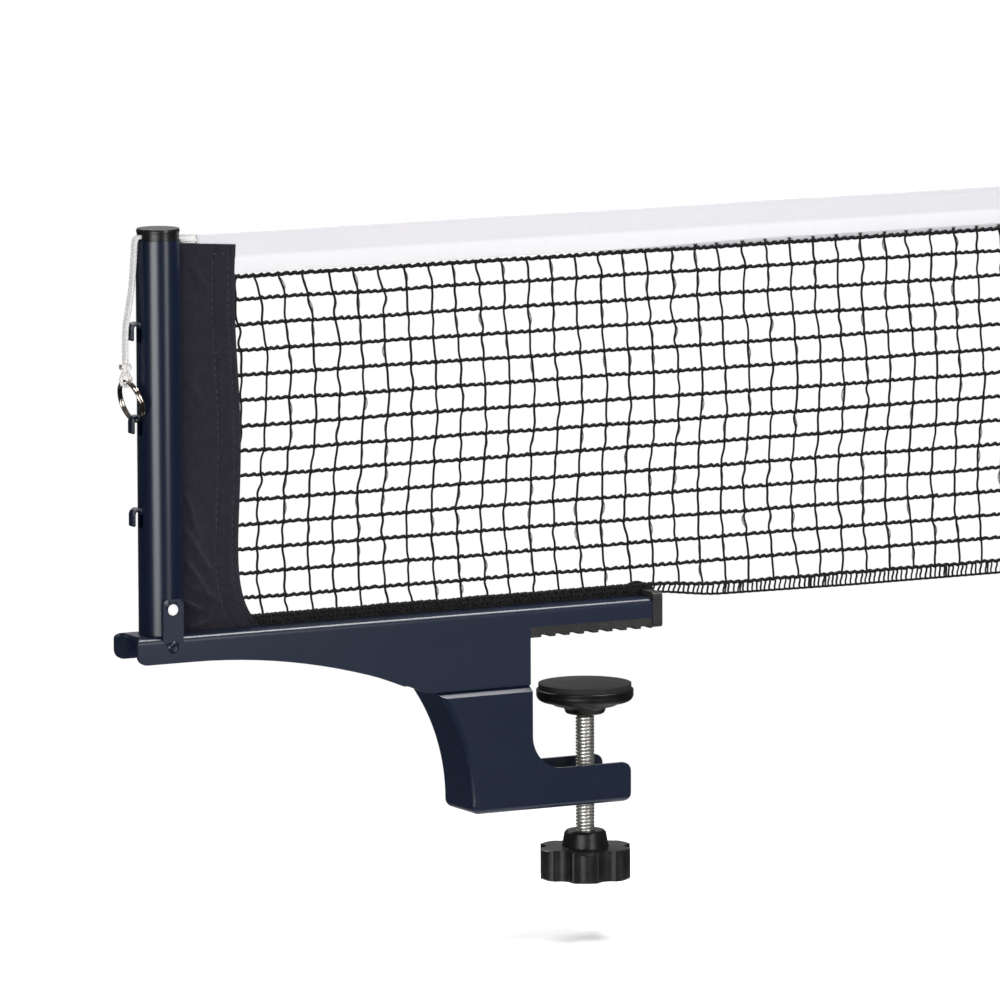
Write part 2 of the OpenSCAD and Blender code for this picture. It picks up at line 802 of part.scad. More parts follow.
// Half of the loop, from the knot round one side of the ring; side is 1 or -1
function loop_side(side, low) = [
    [knot_x + side * 0.9, 0, knot_low],
    [knot_x + side * 0.9, 0, knot_low - 0.8],
    [ring_top.x + side * 1.8, side * 0.2, (knot_low + low) / 2 + 0.6],
    [ring_top.x + side * 1.9, side * 0.3, low + 1.6],
    [ring_top.x + side * 1.1, side * 0.2, low + 0.5]];

module cord_loop() {
    low = ring_top.z - ring_wire - cord_d / 2 - 0.2;
    right = loop_side(1, low);
    left = loop_side(-1, low);
    last = len(left) - 1;
    color(white)
    sweep(concat(right, [[ring_top.x, 0, low]], [for (i = [last : -1 : 0]) left[i]]), cord_d, 8);
}

// A round knot, flat where the cords run into it, with the cut end of the cord beside it
module cord_knot() {
    end_l = 2.4;
    knot_sides = 24;
    color(white)
    translate([knot_x, 0, knot_z]) union() {
        intersection() {
            sphere(d = knot_d, $fn = knot_sides);
            cylinder(d = knot_d + 2 * over, h = knot_high - knot_low, center = true);
        }
        rotate([0, -80, 20]) cylinder(d = cord_d, h = knot_d / 2 + end_l, $fn = knot_sides);
    }
}

// ---- Net ----

// The rod stands inside the post, in the hem of the sleeve, and is too thick for the slit
rod_play = 0.4;
rod_x = post_x + post_d / 2 - post_wall - hem_t - rod_d / 2 - rod_play;
rod_bottom = net_bottom + hem_t;
rod_top = post_top - plug_depth - rod_play;
rod_right = rod_x + rod_d / 2;

// The sleeve is cut wider towards its foot: straight down to the flare, then steeper
flare_h = 9;
flare_share = 0.3;
flare_top = net_bottom + flare_h;
sleeve_bend = sleeve_top - 20;
function sleeve_edge(z) = sleeve_x + sleeve_flare * (
    z > sleeve_bend ? 0
    : z > flare_top ? (1 - flare_share) * (sleeve_bend - z) / (sleeve_bend - flare_top)
    : 1 - flare_share * (z - net_bottom) / flare_h);

module net_rod() {
    color(zinc)
    translate([rod_x, 0, rod_bottom]) cylinder(d = rod_d, h = rod_top - rod_bottom);
}

// Front view of the sleeve, whose top slopes down to its outer corner
module sleeve_outline() {
    slope = 1;
    polygon([[rod_right, net_bottom], [sleeve_edge(net_bottom), net_bottom],
        [sleeve_edge(flare_top), flare_top], [sleeve_edge(sleeve_bend), sleeve_bend],
        [sleeve_x, sleeve_top - slope], [post_x + post_d / 2 + slope, sleeve_top],
        [rod_right, sleeve_top]]);
}

module end_sleeve() {
    color(cloth)
    difference() {
        union() {
            side_profile(sleeve_t) sleeve_outline();
            translate([rod_x, 0, rod_bottom])
                cylinder(d = rod_d + 2 * hem_t, h = rod_top - rod_bottom);
        }
        translate([rod_x, 0, rod_bottom - over])
            cylinder(d = rod_d, h = rod_top - rod_bottom + 2 * over);
        // Inside the post the sleeve stops below the plug of the cap
        translate([post_x, 0, rod_top]) cylinder(d = post_d + 2 * net_clear, h = net_height);
        // Pocket for the end of the tape
        translate([post_x + tape_start - slip, -tape_t / 2, tape_bottom])
            cube([mesh_len, tape_t, tape_w + over]);
    }
}

module net_tape() {
    color(white)
    translate([post_x + tape_start, -tape_t / 2, tape_bottom])
        cube([tape_end - post_x - tape_start, tape_t, tape_w]);
}

module net_mesh() {
    x0 = sleeve_edge(sleeve_bend);
    col = (mesh_end - x0) / mesh_cols;
    row = (tape_bottom - selvedge_top) / mesh_rows;
    color(black)
    side_profile(mesh_t) difference() {
        polygon([[sleeve_edge(selvedge_top), selvedge_top], [mesh_end, selvedge_top],
            [mesh_end, tape_bottom], [sleeve_x, tape_bottom], [sleeve_x, sleeve_bend],
            [sleeve_edge(flare_top), flare_top]]);
        for (i = [0 : mesh_cols - 1], j = [0 : mesh_rows - 1])
            translate([x0 + i * col + mesh_cord / 2, selvedge_top + j * row + mesh_cord / 2])
                square([col - mesh_cord, row - mesh_cord]);
    }
}

// The lower edge lies on the bracket and in the end cap's slot, and sags past it
module net_selvedge() {
    color(black)
    side_profile(mesh_t) polygon([[sleeve_edge(net_bottom), net_bottom], [sag_start, net_bottom],
        [sag_start + sag_run, sag_bottom], [mesh_end, sag_bottom], [mesh_end, selvedge_top],
        [sleeve_edge(selvedge_top), selvedge_top]]);
}

module far_sleeve() {
    sleeve_h = sleeve_top - sag_bottom;
    color(cloth)
    difference() {
        translate([0, 0, sag_bottom]) union() {
            translate([mesh_end, -sleeve_t / 2, 0])
                cube([far_rod_x - mesh_end, sleeve_t, sleeve_h]);
            translate([far_rod_x, 0, 0]) cylinder(d = rod_d + 2 * hem_t, h = sleeve_h);
        }
        translate([far_rod_x, 0, sag_bottom - over]) cylinder(d = rod_d, h = net_height);
        translate([mesh_end - over, -tape_t / 2, tape_bottom])
            cube([tape_end + over - mesh_end + slip, tape_t, tape_w + over]);
    }
}

module far_rod() {
    color(zinc)
    translate([far_rod_x, 0, sag_bottom + hem_t])
        cylinder(d = rod_d, h = sleeve_top - sag_bottom - 2 * hem_t);
}

upper_bracket();
lower_jaw();
jaw_nut();
post_tube();
post_cap();
foot_rivet();
locating_peg();
table_liner();
liner_end_cap();
clamp_screw();
pressure_pad();
pad_facing();
pad_circlip();
knob();
split_ring();
cord_strand_front();
cord_strand_rear();
cord_loop();
cord_knot();
net_rod();
end_sleeve();
net_tape();
net_mesh();
net_selvedge();
far_sleeve();
far_rod();
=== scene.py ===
# %% [markdown]
# # A table tennis net clamp, dressed in Blender
# The clamp, its post and its net come in as a model of steel, plastic and plain soft solids. This
# lesson gives them their looks. All is in metres and in the frame of that model: X runs along the net
# to the middle of the table, Y across it and Z up, from the screw's axis at the table's top.

# %% Load the model
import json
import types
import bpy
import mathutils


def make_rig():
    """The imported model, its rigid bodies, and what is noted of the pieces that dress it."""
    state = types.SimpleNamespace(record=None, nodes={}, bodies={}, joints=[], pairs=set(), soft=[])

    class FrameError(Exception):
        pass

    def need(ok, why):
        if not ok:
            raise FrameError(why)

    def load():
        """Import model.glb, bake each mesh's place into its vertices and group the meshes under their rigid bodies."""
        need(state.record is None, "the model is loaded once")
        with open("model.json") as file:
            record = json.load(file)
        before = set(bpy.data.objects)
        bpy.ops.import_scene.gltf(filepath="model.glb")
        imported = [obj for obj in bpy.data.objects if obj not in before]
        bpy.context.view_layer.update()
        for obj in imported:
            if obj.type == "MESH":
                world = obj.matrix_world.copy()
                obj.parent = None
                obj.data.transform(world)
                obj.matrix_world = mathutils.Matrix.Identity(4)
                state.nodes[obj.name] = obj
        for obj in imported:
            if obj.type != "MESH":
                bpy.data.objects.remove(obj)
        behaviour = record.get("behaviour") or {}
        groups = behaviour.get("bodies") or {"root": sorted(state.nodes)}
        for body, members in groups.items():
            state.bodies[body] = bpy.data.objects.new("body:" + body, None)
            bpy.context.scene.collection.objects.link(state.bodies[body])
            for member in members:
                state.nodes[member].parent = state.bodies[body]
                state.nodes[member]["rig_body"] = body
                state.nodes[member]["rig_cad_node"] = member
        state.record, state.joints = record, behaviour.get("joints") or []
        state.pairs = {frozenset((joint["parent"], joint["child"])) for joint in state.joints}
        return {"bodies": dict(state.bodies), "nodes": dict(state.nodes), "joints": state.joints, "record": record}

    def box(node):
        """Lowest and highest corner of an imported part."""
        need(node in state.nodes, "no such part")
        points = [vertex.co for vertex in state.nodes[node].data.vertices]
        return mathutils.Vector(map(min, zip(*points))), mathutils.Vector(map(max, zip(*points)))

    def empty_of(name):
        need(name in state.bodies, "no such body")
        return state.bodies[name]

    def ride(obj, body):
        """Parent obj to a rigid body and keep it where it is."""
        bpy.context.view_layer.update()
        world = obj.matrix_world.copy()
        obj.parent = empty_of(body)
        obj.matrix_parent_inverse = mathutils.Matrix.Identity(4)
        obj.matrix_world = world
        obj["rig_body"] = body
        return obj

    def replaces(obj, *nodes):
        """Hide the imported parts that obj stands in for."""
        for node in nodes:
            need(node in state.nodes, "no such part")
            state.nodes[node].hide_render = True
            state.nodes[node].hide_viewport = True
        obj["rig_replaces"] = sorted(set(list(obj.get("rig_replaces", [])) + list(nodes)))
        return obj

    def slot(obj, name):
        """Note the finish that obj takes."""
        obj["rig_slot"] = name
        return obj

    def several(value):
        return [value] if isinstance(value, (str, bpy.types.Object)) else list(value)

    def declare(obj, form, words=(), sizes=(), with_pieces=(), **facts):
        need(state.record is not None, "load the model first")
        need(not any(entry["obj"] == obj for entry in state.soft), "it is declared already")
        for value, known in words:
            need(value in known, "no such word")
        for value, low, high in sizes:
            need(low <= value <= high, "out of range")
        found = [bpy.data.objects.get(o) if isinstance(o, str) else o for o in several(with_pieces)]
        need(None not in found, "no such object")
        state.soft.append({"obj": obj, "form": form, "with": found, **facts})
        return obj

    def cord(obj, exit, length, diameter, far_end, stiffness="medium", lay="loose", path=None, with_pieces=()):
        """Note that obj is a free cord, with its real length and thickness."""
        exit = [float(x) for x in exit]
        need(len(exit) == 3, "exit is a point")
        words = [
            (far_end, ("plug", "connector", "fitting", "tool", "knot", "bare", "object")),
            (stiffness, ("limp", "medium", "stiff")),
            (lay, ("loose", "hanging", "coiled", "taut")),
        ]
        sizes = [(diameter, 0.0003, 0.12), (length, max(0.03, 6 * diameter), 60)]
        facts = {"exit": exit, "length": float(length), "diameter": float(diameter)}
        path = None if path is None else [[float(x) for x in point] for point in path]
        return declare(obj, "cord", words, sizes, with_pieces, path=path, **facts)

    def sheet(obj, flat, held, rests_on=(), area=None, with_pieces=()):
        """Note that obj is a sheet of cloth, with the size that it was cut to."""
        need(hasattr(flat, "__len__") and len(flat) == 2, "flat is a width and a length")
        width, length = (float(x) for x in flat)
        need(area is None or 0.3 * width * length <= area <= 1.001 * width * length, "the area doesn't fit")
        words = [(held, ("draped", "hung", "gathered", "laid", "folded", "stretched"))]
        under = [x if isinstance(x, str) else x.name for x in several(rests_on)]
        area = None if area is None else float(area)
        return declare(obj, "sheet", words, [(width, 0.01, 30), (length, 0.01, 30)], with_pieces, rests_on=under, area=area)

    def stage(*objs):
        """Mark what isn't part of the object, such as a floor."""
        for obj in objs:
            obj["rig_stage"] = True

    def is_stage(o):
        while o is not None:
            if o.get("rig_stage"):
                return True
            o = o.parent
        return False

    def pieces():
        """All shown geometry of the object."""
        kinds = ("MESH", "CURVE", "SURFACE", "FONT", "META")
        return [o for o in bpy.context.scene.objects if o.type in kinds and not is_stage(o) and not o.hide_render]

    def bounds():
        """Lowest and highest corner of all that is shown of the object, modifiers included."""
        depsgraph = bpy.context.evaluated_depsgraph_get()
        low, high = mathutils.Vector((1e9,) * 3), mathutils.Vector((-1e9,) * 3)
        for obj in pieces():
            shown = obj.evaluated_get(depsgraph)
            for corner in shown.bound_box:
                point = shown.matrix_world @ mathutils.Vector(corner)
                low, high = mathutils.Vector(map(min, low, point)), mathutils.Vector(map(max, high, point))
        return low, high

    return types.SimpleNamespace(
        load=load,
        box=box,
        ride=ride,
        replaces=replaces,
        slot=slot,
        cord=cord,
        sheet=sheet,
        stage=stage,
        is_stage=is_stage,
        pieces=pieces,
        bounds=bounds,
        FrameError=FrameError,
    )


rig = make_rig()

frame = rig.load()
cad_low, cad_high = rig.bounds()

import json
import random
from math import cos, exp, hypot, pi, radians, sin, tau

import bpy
from mathutils import Matrix, Vector, noise

MM = 0.001
nodes = frame["nodes"]
print("model loaded:", len(nodes), "nodes,", len(frame["bodies"]), "bodies")

# %% [markdown]
# ## Places taken from the model
# Each piece made here sits on a piece of the model, so the script asks the model where things are and
# works in millimetres from there.

# %% Places
def box_mm(node):
    low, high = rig.box(node)
    return low / MM, high / MM


def middle_mm(node):
    low, high = box_mm(node)
    return (low + high) / 2


def add_object(name, data):
    made = bpy.data.objects.new(name, data)
    bpy.context.scene.collection.objects.link(made)
    return made


post_x = middle_mm("foot_rivet").x
tape_low, tape_high = box_mm("net_tape")
net_height, tape_bottom = tape_high.z, tape_low.z
tape_left, tape_right = tape_low.x, tape_high.x
mesh_right = box_mm("net_mesh")[1].x
bracket_high = box_mm("liner_end_cap")[1]
bracket_top = box_mm("end_sleeve")[0].z
web_top = bracket_top - 0.3
net_right = box_mm("far_sleeve")[1].x
post_top = box_mm("post_cap")[1].z - 4.0
print(f"post axis at x {post_x:.1f}, net from {tape_left:.1f} to {net_right:.1f} mm")

# %% [markdown]
# ## Camera
# A long lens flattens the view, as in a catalogue picture. The camera stands 3.6 m away, 28 degrees to
# the left, a little above the clamp and rolled by a fifth of a degree. Its matrix is made of right, up
# and backward vectors, which leaves nothing to guess.

# %% Camera
CAMERA_YAW, CAMERA_PITCH, CAMERA_ROLL = radians(28.00), radians(7.757), radians(-0.212)
CAMERA_DISTANCE = 3645.2 * MM
CAMERA_TARGET = Vector((-34.514, 0.0, 49.463)) * MM

backward = Vector((-sin(CAMERA_YAW) * cos(CAMERA_PITCH),
                   -cos(CAMERA_YAW) * cos(CAMERA_PITCH), sin(CAMERA_PITCH)))
level = Vector((cos(CAMERA_YAW), -sin(CAMERA_YAW), 0.0))
above = backward.cross(level)
right = cos(CAMERA_ROLL) * level + sin(CAMERA_ROLL) * above
up = -sin(CAMERA_ROLL) * level + cos(CAMERA_ROLL) * above
turn = Matrix((right, up, backward)).transposed().to_4x4()
camera_data = bpy.data.cameras.new("camera")
camera_data.lens, camera_data.sensor_width = 364.9, 36.0
camera = add_object("camera", camera_data)
camera.matrix_world = Matrix.Translation(CAMERA_TARGET + backward * CAMERA_DISTANCE) @ turn
bpy.context.scene.camera = camera
print("camera at", [round(v, 3) for v in camera.location])

# %% [markdown]
# ## Tools for meshes
# Nearly everything soft here is a tube or a sheet. `Mesher` gathers many of them, so that a whole net
# is one object. A tube needs a side vector at each ring, and carrying it from ring to ring keeps the
# tube from twisting.

# %% Mesh tools
def ring_angles(count):
    return [tau * k / count for k in range(count)]


def shares(count):
    """Even steps from 0 to 1."""
    return [k / count for k in range(count + 1)]


def carried(path, closed=False):
    """Each point of a path, with two vectors across it that are carried on without a twist."""
    side, last = None, len(path) - 1
    for i, point in enumerate(path):
        ahead = path[(i + 1) % len(path)] if closed else path[min(i + 1, last)]
        behind = path[i - 1] if closed or i else path[0]
        along = (ahead - behind).normalized()
        side = side or along.orthogonal().normalized()
        side = (side - along * side.dot(along)).normalized()
        yield point, side, along.cross(side)


def on_circle(point, side, other, angle, radius):
    return point + (side * cos(angle) + other * sin(angle)) * radius


class Mesher:
    def __init__(self):
        self.points, self.faces, self.slots = [], [], []

    def grid(self, rows, wrap=False, slot=0, capped=False):
        """Faces between rows of points; wrap makes each row a ring, and capped fills the end rings."""
        start, wide = len(self.points), len(rows[0])
        for row in rows:
            self.points += row
        faces = []
        for i in range(len(rows) - 1):
            for k in range(wide if wrap else wide - 1):
                a = start + i * wide + k
                b = start + i * wide + (k + 1) % wide
                faces.append((a, b, b + wide, a + wide))
        if capped:
            faces.append(tuple(range(start + wide - 1, start - 1, -1)))
            faces.append(tuple(range(len(self.points) - wide, len(self.points))))
        self.faces += faces
        self.slots += [slot] * len(faces)

    def tube(self, path, radius, sides=8, slot=0, closed=False):
        """A tube along path; radius is a number or a function of the ring's index."""
        rings = []
        for i, place in enumerate(carried(path, closed)):
            r = radius(i) if callable(radius) else radius
            rings.append([on_circle(*place, a, r) for a in ring_angles(sides)])
        self.grid(rings + (rings[:1] if closed else []), True, slot, capped=not closed)

    def build(self, name, finishes, body, slot, *stands_for):
        """The object, in metres. It rides on a body and stands for nodes of the model."""
        mesh = bpy.data.meshes.new(name)
        mesh.from_pydata([tuple(p * MM) for p in self.points], [], self.faces)
        for finish in finishes:
            mesh.materials.append(finish)
        mesh.polygons.foreach_set("material_index", self.slots)
        mesh.polygons.foreach_set("use_smooth", [True] * len(self.faces))
        mesh.update()
        piece = add_object(name, mesh)
        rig.ride(piece, body)
        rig.slot(piece, slot)
        if stands_for:
            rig.replaces(piece, *stands_for)
        print(f"{name}: {len(self.faces)} faces")
        return piece


def smooth_path(points, steps):
    """Catmull-Rom curve through the points, with the given steps between two of them."""
    points = [Vector(p) for p in points]
    ends = [2 * points[0] - points[1]] + points + [2 * points[-1] - points[-2]]
    curve = []
    for a, b, c, d in zip(ends, ends[1:], ends[2:], ends[3:]):
        for t in shares(steps)[:-1]:
            curve.append(0.5 * (2 * b + (c - a) * t + (2 * a - 5 * b + 4 * c - d) * t ** 2
                                + (3 * b - a - 3 * c + d) * t ** 3))
    curve.append(points[-1])
    return curve


def path_length(path):
    return sum((b - a).length for a, b in zip(path, path[1:]))

# %% [markdown]
# ## Tools for finishes
# A finish is a Principled shader whose colour, roughness and bump come from patterns of a known size
# in millimetres. `Nodes` adds nodes to any tree, and `Finish` keeps the patterns that most finishes
# share, so that each material below reads like a recipe. The patterns turn with their piece.

# %% Finish tools
def srgb(red, green, blue):
    """Linear colour for a colour given as it looks on a screen, from 0 to 255."""
    def linear(v):
        v /= 255
        return v / 12.92 if v <= 0.04045 else ((v + 0.055) / 1.055) ** 2.4
    return (linear(red), linear(green), linear(blue), 1.0)


class Nodes:
    """A node tree; an input takes a number, another node's output, or None to stay as it is."""
    def __init__(self, owner):
        owner.use_nodes = True
        self.tree = owner.node_tree

    def join(self, values, sockets):
        for value, socket in zip(values, sockets):
            if isinstance(value, bpy.types.NodeSocket):
                self.tree.links.new(value, socket)
            elif value is not None:
                socket.default_value = value

    def node(self, kind, settings=None, **inputs):
        made = self.tree.nodes.new("ShaderNode" + kind)
        for key, value in (settings or {}).items():
            setattr(made, key, value)
        self.join(inputs.values(), [made.inputs[key.replace("_", " ")] for key in inputs])
        return made

    def row(self, kind, *values, **settings):
        """The first output of a node whose first inputs take these values."""
        made = self.node(kind, settings)
        self.join(values, made.inputs)
        return made.outputs[0]

    def math(self, operation, a, b):
        return self.row("Math", a, b, operation=operation)

    def spread(self, value, low, high, to_low=0.0, to_high=1.0, curve="LINEAR"):
        return self.node("MapRange", {"interpolation_type": curve}, Value=value, From_Min=low,
                         From_Max=high, To_Min=to_low, To_Max=to_high).outputs[0]

    def length(self, vector):
        return self.node("VectorMath", {"operation": "LENGTH"}, Vector=vector).outputs["Value"]


class Finish(Nodes):
    def __init__(self, name, **sockets):
        self.material = bpy.data.materials.new(name)
        super().__init__(self.material)
        self.shader = self.tree.nodes["Principled BSDF"]
        self.join(sockets.values(), [self.shader.inputs[key.replace("_", " ")] for key in sockets])
        self.place = self.node("TexCoord").outputs["Object"]
        print("finish:", name)

    def link(self, value, socket):
        self.tree.links.new(value, self.shader.inputs[socket])

    def stretched(self, x, y, z):
        return self.node("Mapping", Vector=self.place, Scale=(x, y, z)).outputs[0]

    def noise(self, size, detail=2.0, place=None):
        """Clouds whose lumps are about this many millimetres wide."""
        return self.node("TexNoise", Vector=place or self.place, Scale=1 / (size * MM),
                         Detail=detail).outputs["Fac"]

    def grains(self, size):
        return self.node("TexVoronoi", Vector=self.place, Scale=1 / (size * MM)).outputs["Distance"]

    def bands(self, axis, period, distortion=0.0):
        """Ridges across an axis; 20 is the wave texture's own count of radians per unit."""
        scale = tau / 20 / (period * MM)
        return self.node("TexWave", {"bands_direction": axis}, Vector=self.place, Scale=scale,
                         Distortion=distortion).outputs["Fac"]

    def blend(self, share, first, second):
        made = self.node("Mix", {"data_type": "RGBA"}, Factor=share)
        self.join((first, second), made.inputs[6:8])
        return made.outputs[2]

    def colour(self, share, first, second):
        self.link(self.blend(share, first, second), "Base Color")

    def roughness(self, value, low, high, smooth, rough):
        self.link(self.spread(value, low, high, smooth, rough), "Roughness")

    def bump(self, *layers):
        """Layers of (height, depth in millimetres), each laid over the one before."""
        normal = None
        for height, depth in layers:
            normal = self.node("Bump", Height=height, Distance=depth * MM, Normal=normal).outputs[0]
        self.link(normal, "Normal")


print("finish tools ready")

# %% [markdown]
# ## Paint
# The bracket, the jaw and the post are powder coated: a navy skin with a faint orange peel and a satin
# sheen. A noise drawn out along X makes the strokes left by rolling the sheet, a wide one lets the
# colour drift, and a small one sets specks of dust.

# %% Paint
def paint(name, tone, drift, sheen, grain):
    coat = Finish(name, Specular_IOR_Level=0.5)
    cloud = coat.noise(26, 2, coat.stretched(0.3, 1, 1))
    dust = coat.spread(coat.noise(0.45, 1), 0.73, 0.80, 0.0, 0.2)
    lighter = tuple(1.5 * v for v in drift[:3]) + (1.0,)
    tinted = coat.blend(cloud, tone, drift)
    strokes = coat.noise(0.9, 3, coat.stretched(0.06, 1, 1))
    rubbed = coat.spread(coat.noise(0.9, 4, coat.stretched(0.7, 1, 1)), 0.4, 0.8, 0.0, 0.3)
    tinted = coat.blend(rubbed, tinted, lighter)
    coat.colour(dust, tinted, srgb(84, 92, 108))
    coat.roughness(strokes, 0.3, 0.7, sheen - 0.006, sheen + 0.006)
    coat.bump((coat.noise(1.6, 2), grain), (strokes, 0.0002))
    return coat.material


flange_paint = paint("flange_paint", srgb(22, 30, 49), srgb(29, 38, 57), 0.29, 0.005)
post_paint = paint("post_paint", srgb(12, 22, 43), srgb(16, 27, 49), 0.28, 0.006)
jaw_paint = paint("jaw_paint", srgb(17, 26, 46), srgb(22, 32, 52), 0.28, 0.005)
rivet_paint = paint("rivet_paint", srgb(16, 24, 42), srgb(22, 30, 48), 0.26, 0.002)

# %% [markdown]
# ## Plastics and rubber
# The knob, the pad and the post's cap are black nylon with a fine grain: a cell pattern makes the pits
# and a noise the tiny light specks. The liner and its end cap are a greyer plastic. The peg in the ear
# is white nylon, which lets a little light in.

# %% Plastics
def moulded(name, tone, speck, roughness, grain):
    skin = Finish(name, Specular_IOR_Level=0.35)
    specks = skin.spread(skin.noise(grain, 2), 0.56, 0.78)
    worn = skin.spread(skin.noise(7, 5), 0.45, 0.75, 0.0, 0.45)
    skin.colour(specks, skin.blend(worn, tone, speck), speck)
    skin.roughness(skin.noise(2.5, 3), 0.3, 0.7, roughness - 0.05, roughness + 0.05)
    skin.bump((skin.noise(grain * 2, 2), 0.02), (skin.grains(grain), 0.008))
    return skin.material


black_nylon = moulded("black_nylon", srgb(13, 12, 11), srgb(43, 41, 39), 0.36, 0.35)
cap_nylon = moulded("cap_nylon", srgb(22, 21, 20), srgb(52, 50, 48), 0.27, 0.35)
grey_nylon = moulded("grey_nylon", srgb(44, 43, 44), srgb(70, 69, 69), 0.46, 0.5)
facing_rubber = moulded("facing_rubber", srgb(34, 34, 34), srgb(50, 50, 50), 0.75, 0.25)

# %% White nylon
peg = Finish("white_nylon", Roughness=0.38, Subsurface_Weight=0.15,
             Subsurface_Radius=(0.8 * MM, 0.8 * MM, 0.8 * MM))
peg.colour(peg.noise(1.5, 2), srgb(254, 254, 254), srgb(249, 249, 250))
peg.bump((peg.noise(0.4, 2), 0.01))
white_nylon = peg.material

# %% [markdown]
# ## Bare metals
# The screw, nut and rods are zinc plated: grey, slightly cloudy and brushed by the nut. The split ring
# is nickel plated and nearly a mirror, so it takes its look from what stands round it.

# %% Metals
def plated(name, tone, dull, low, high, cloud_size):
    metal = Finish(name, Metallic=1.0)
    metal.colour(metal.noise(cloud_size, 4), tone, dull)
    metal.roughness(metal.noise(cloud_size / 3, 3), 0.3, 0.7, low, high)
    metal.bump((metal.noise(0.25, 2), 0.0005))
    return metal.material


zinc_plate = plated("zinc_plate", srgb(236, 234, 228), srgb(214, 211, 204), 0.36, 0.43, 2.5)
nickel_plate = plated("nickel_plate", srgb(216, 208, 198), srgb(190, 178, 164), 0.05, 0.11, 4)

# %% [markdown]
# ## Cloth and cord
# The dark sleeve and the white band are plain weaves. Two sets of ridges, across and along, make the
# threads; where both are high a thread lies on top. A fine noise is enough for the cords, because
# their strands are modelled.

# %% Cloths
def woven(name, tone, light, thread, depth, sheen, roughness):
    cloth = Finish(name, Roughness=roughness, Sheen_Weight=sheen, Sheen_Roughness=0.5,
                   Specular_IOR_Level=0.25)
    threads = cloth.math("MULTIPLY", cloth.bands("X", thread, 0.6), cloth.bands("Z", thread, 0.6))
    slubs = cloth.spread(cloth.noise(thread * 3, 3, cloth.stretched(1, 1, 0.6)), 0.25, 0.8)
    cloth.colour(cloth.math("MULTIPLY", threads, slubs), tone, light)
    cloth.bump((cloth.noise(9, 2), 0.12), (slubs, depth), (threads, depth))
    return cloth.material


sleeve_cloth = woven("sleeve_cloth", srgb(29, 26, 36), srgb(57, 52, 65), 0.6, 0.04, 0.15, 0.9)

# %% White band
def band_finish(fold_height):
    """White cloth that is a shade greyer above fold_height."""
    cloth = Finish("band_cloth", Roughness=0.72, Sheen_Weight=0.1, Specular_IOR_Level=0.25)
    height = cloth.node("SeparateXYZ", Vector=cloth.place).outputs["Z"]
    above_fold = cloth.spread(height, (fold_height - 0.6) * MM, (fold_height + 0.6) * MM)
    threads = cloth.math("MULTIPLY", cloth.bands("X", 0.45, 0.4), cloth.bands("Z", 0.45, 0.4))
    # Above fold_height the tone turns a shade greyer
    tone = cloth.blend(above_fold, srgb(249, 247, 249), srgb(237, 235, 240))
    cloth.colour(cloth.math("MULTIPLY", threads, cloth.noise(4, 3)), tone, srgb(232, 230, 236))
    cloth.bump((cloth.noise(14, 2), 0.1), (threads, 0.03))
    return cloth.material


BAND_FOLD = 143.5
band_cloth = band_finish(BAND_FOLD)

# %% Cords
def fibre(name, tone, light, roughness):
    yarn = Finish(name, Roughness=roughness, Sheen_Weight=0.08, Specular_IOR_Level=0.25)
    yarn.colour(yarn.noise(0.5, 3), tone, light)
    yarn.bump((yarn.noise(0.22, 3), 0.03))
    return yarn.material


net_cord = fibre("net_cord", srgb(9, 8, 10), srgb(20, 19, 22), 0.66)
loose_thread = fibre("loose_thread", srgb(110, 108, 110), srgb(160, 158, 160), 0.6)
white_cord = fibre("white_cord", srgb(252, 251, 250), srgb(238, 236, 234), 0.7)
seam_thread = fibre("seam_thread", srgb(46, 43, 54), srgb(72, 68, 82), 0.8)

# %% [markdown]
# ## Stage and light
# The table isn't part of the clamp, so a plain pale floor lies just below the knob's lowest place.
# Near the clamp it takes light and shadow, and further out it fades into a white backdrop, which
# camera, mirror and see-through rays see at a strength of one.

# %% Floor
FLOOR_Z = -112.0
FLOOR_RADIUS = 370.0
FLOOR_SIDES = 96
SHADOW_NEAR, SHADOW_FAR = 180.0, 350.0
MIRROR_NEAR, MIRROR_FAR = 40.0, 120.0
PAPER, PAPER_LIFT = 0.86, 0.36


def floor_finish():
    material = bpy.data.materials.new("pale_floor")
    tree = Nodes(material)
    tree.tree.nodes.clear()
    paper = tree.row("BsdfDiffuse", (PAPER, PAPER, PAPER, 1))
    ray = tree.node("LightPath").outputs
    seen = tree.math("MAXIMUM", ray["Is Camera Ray"], ray["Is Glossy Ray"])
    seen = tree.math("MAXIMUM", seen, ray["Is Transmission Ray"])
    lift = tree.row("MixShader", seen, None, tree.row("Emission", None, PAPER_LIFT))
    far = tree.row("MixShader", seen, paper, tree.row("Emission", None, 1.0))
    reach = tree.length(tree.node("TexCoord").outputs["Object"])
    fade = tree.spread(reach, SHADOW_NEAR * MM, SHADOW_FAR * MM, curve="SMOOTHSTEP")
    near = tree.row("MixShader", fade, tree.row("AddShader", paper, lift), far)
    # Paint and metal mirror the paper close under them, and past it the dim room
    gone = tree.spread(reach, MIRROR_NEAR * MM, MIRROR_FAR * MM)
    past = tree.math("MULTIPLY", gone, ray["Is Glossy Ray"])
    both = tree.row("MixShader", past, near, tree.row("BsdfTransparent"))
    tree.node("OutputMaterial", Surface=both)
    return material


# A round sheet of paper; its rim is the backdrop's white, so no edge shows
mesh = bpy.data.meshes.new("floor")
rim = [(FLOOR_RADIUS * MM * cos(a), FLOOR_RADIUS * MM * sin(a), 0)
       for a in ring_angles(FLOOR_SIDES)]
mesh.from_pydata(rim, [], [tuple(range(FLOOR_SIDES))])
mesh.materials.append(floor_finish())
floor = add_object("floor", mesh)
floor.location.z = FLOOR_Z * MM
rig.stage(floor)
print("floor at z", FLOOR_Z, "mm")

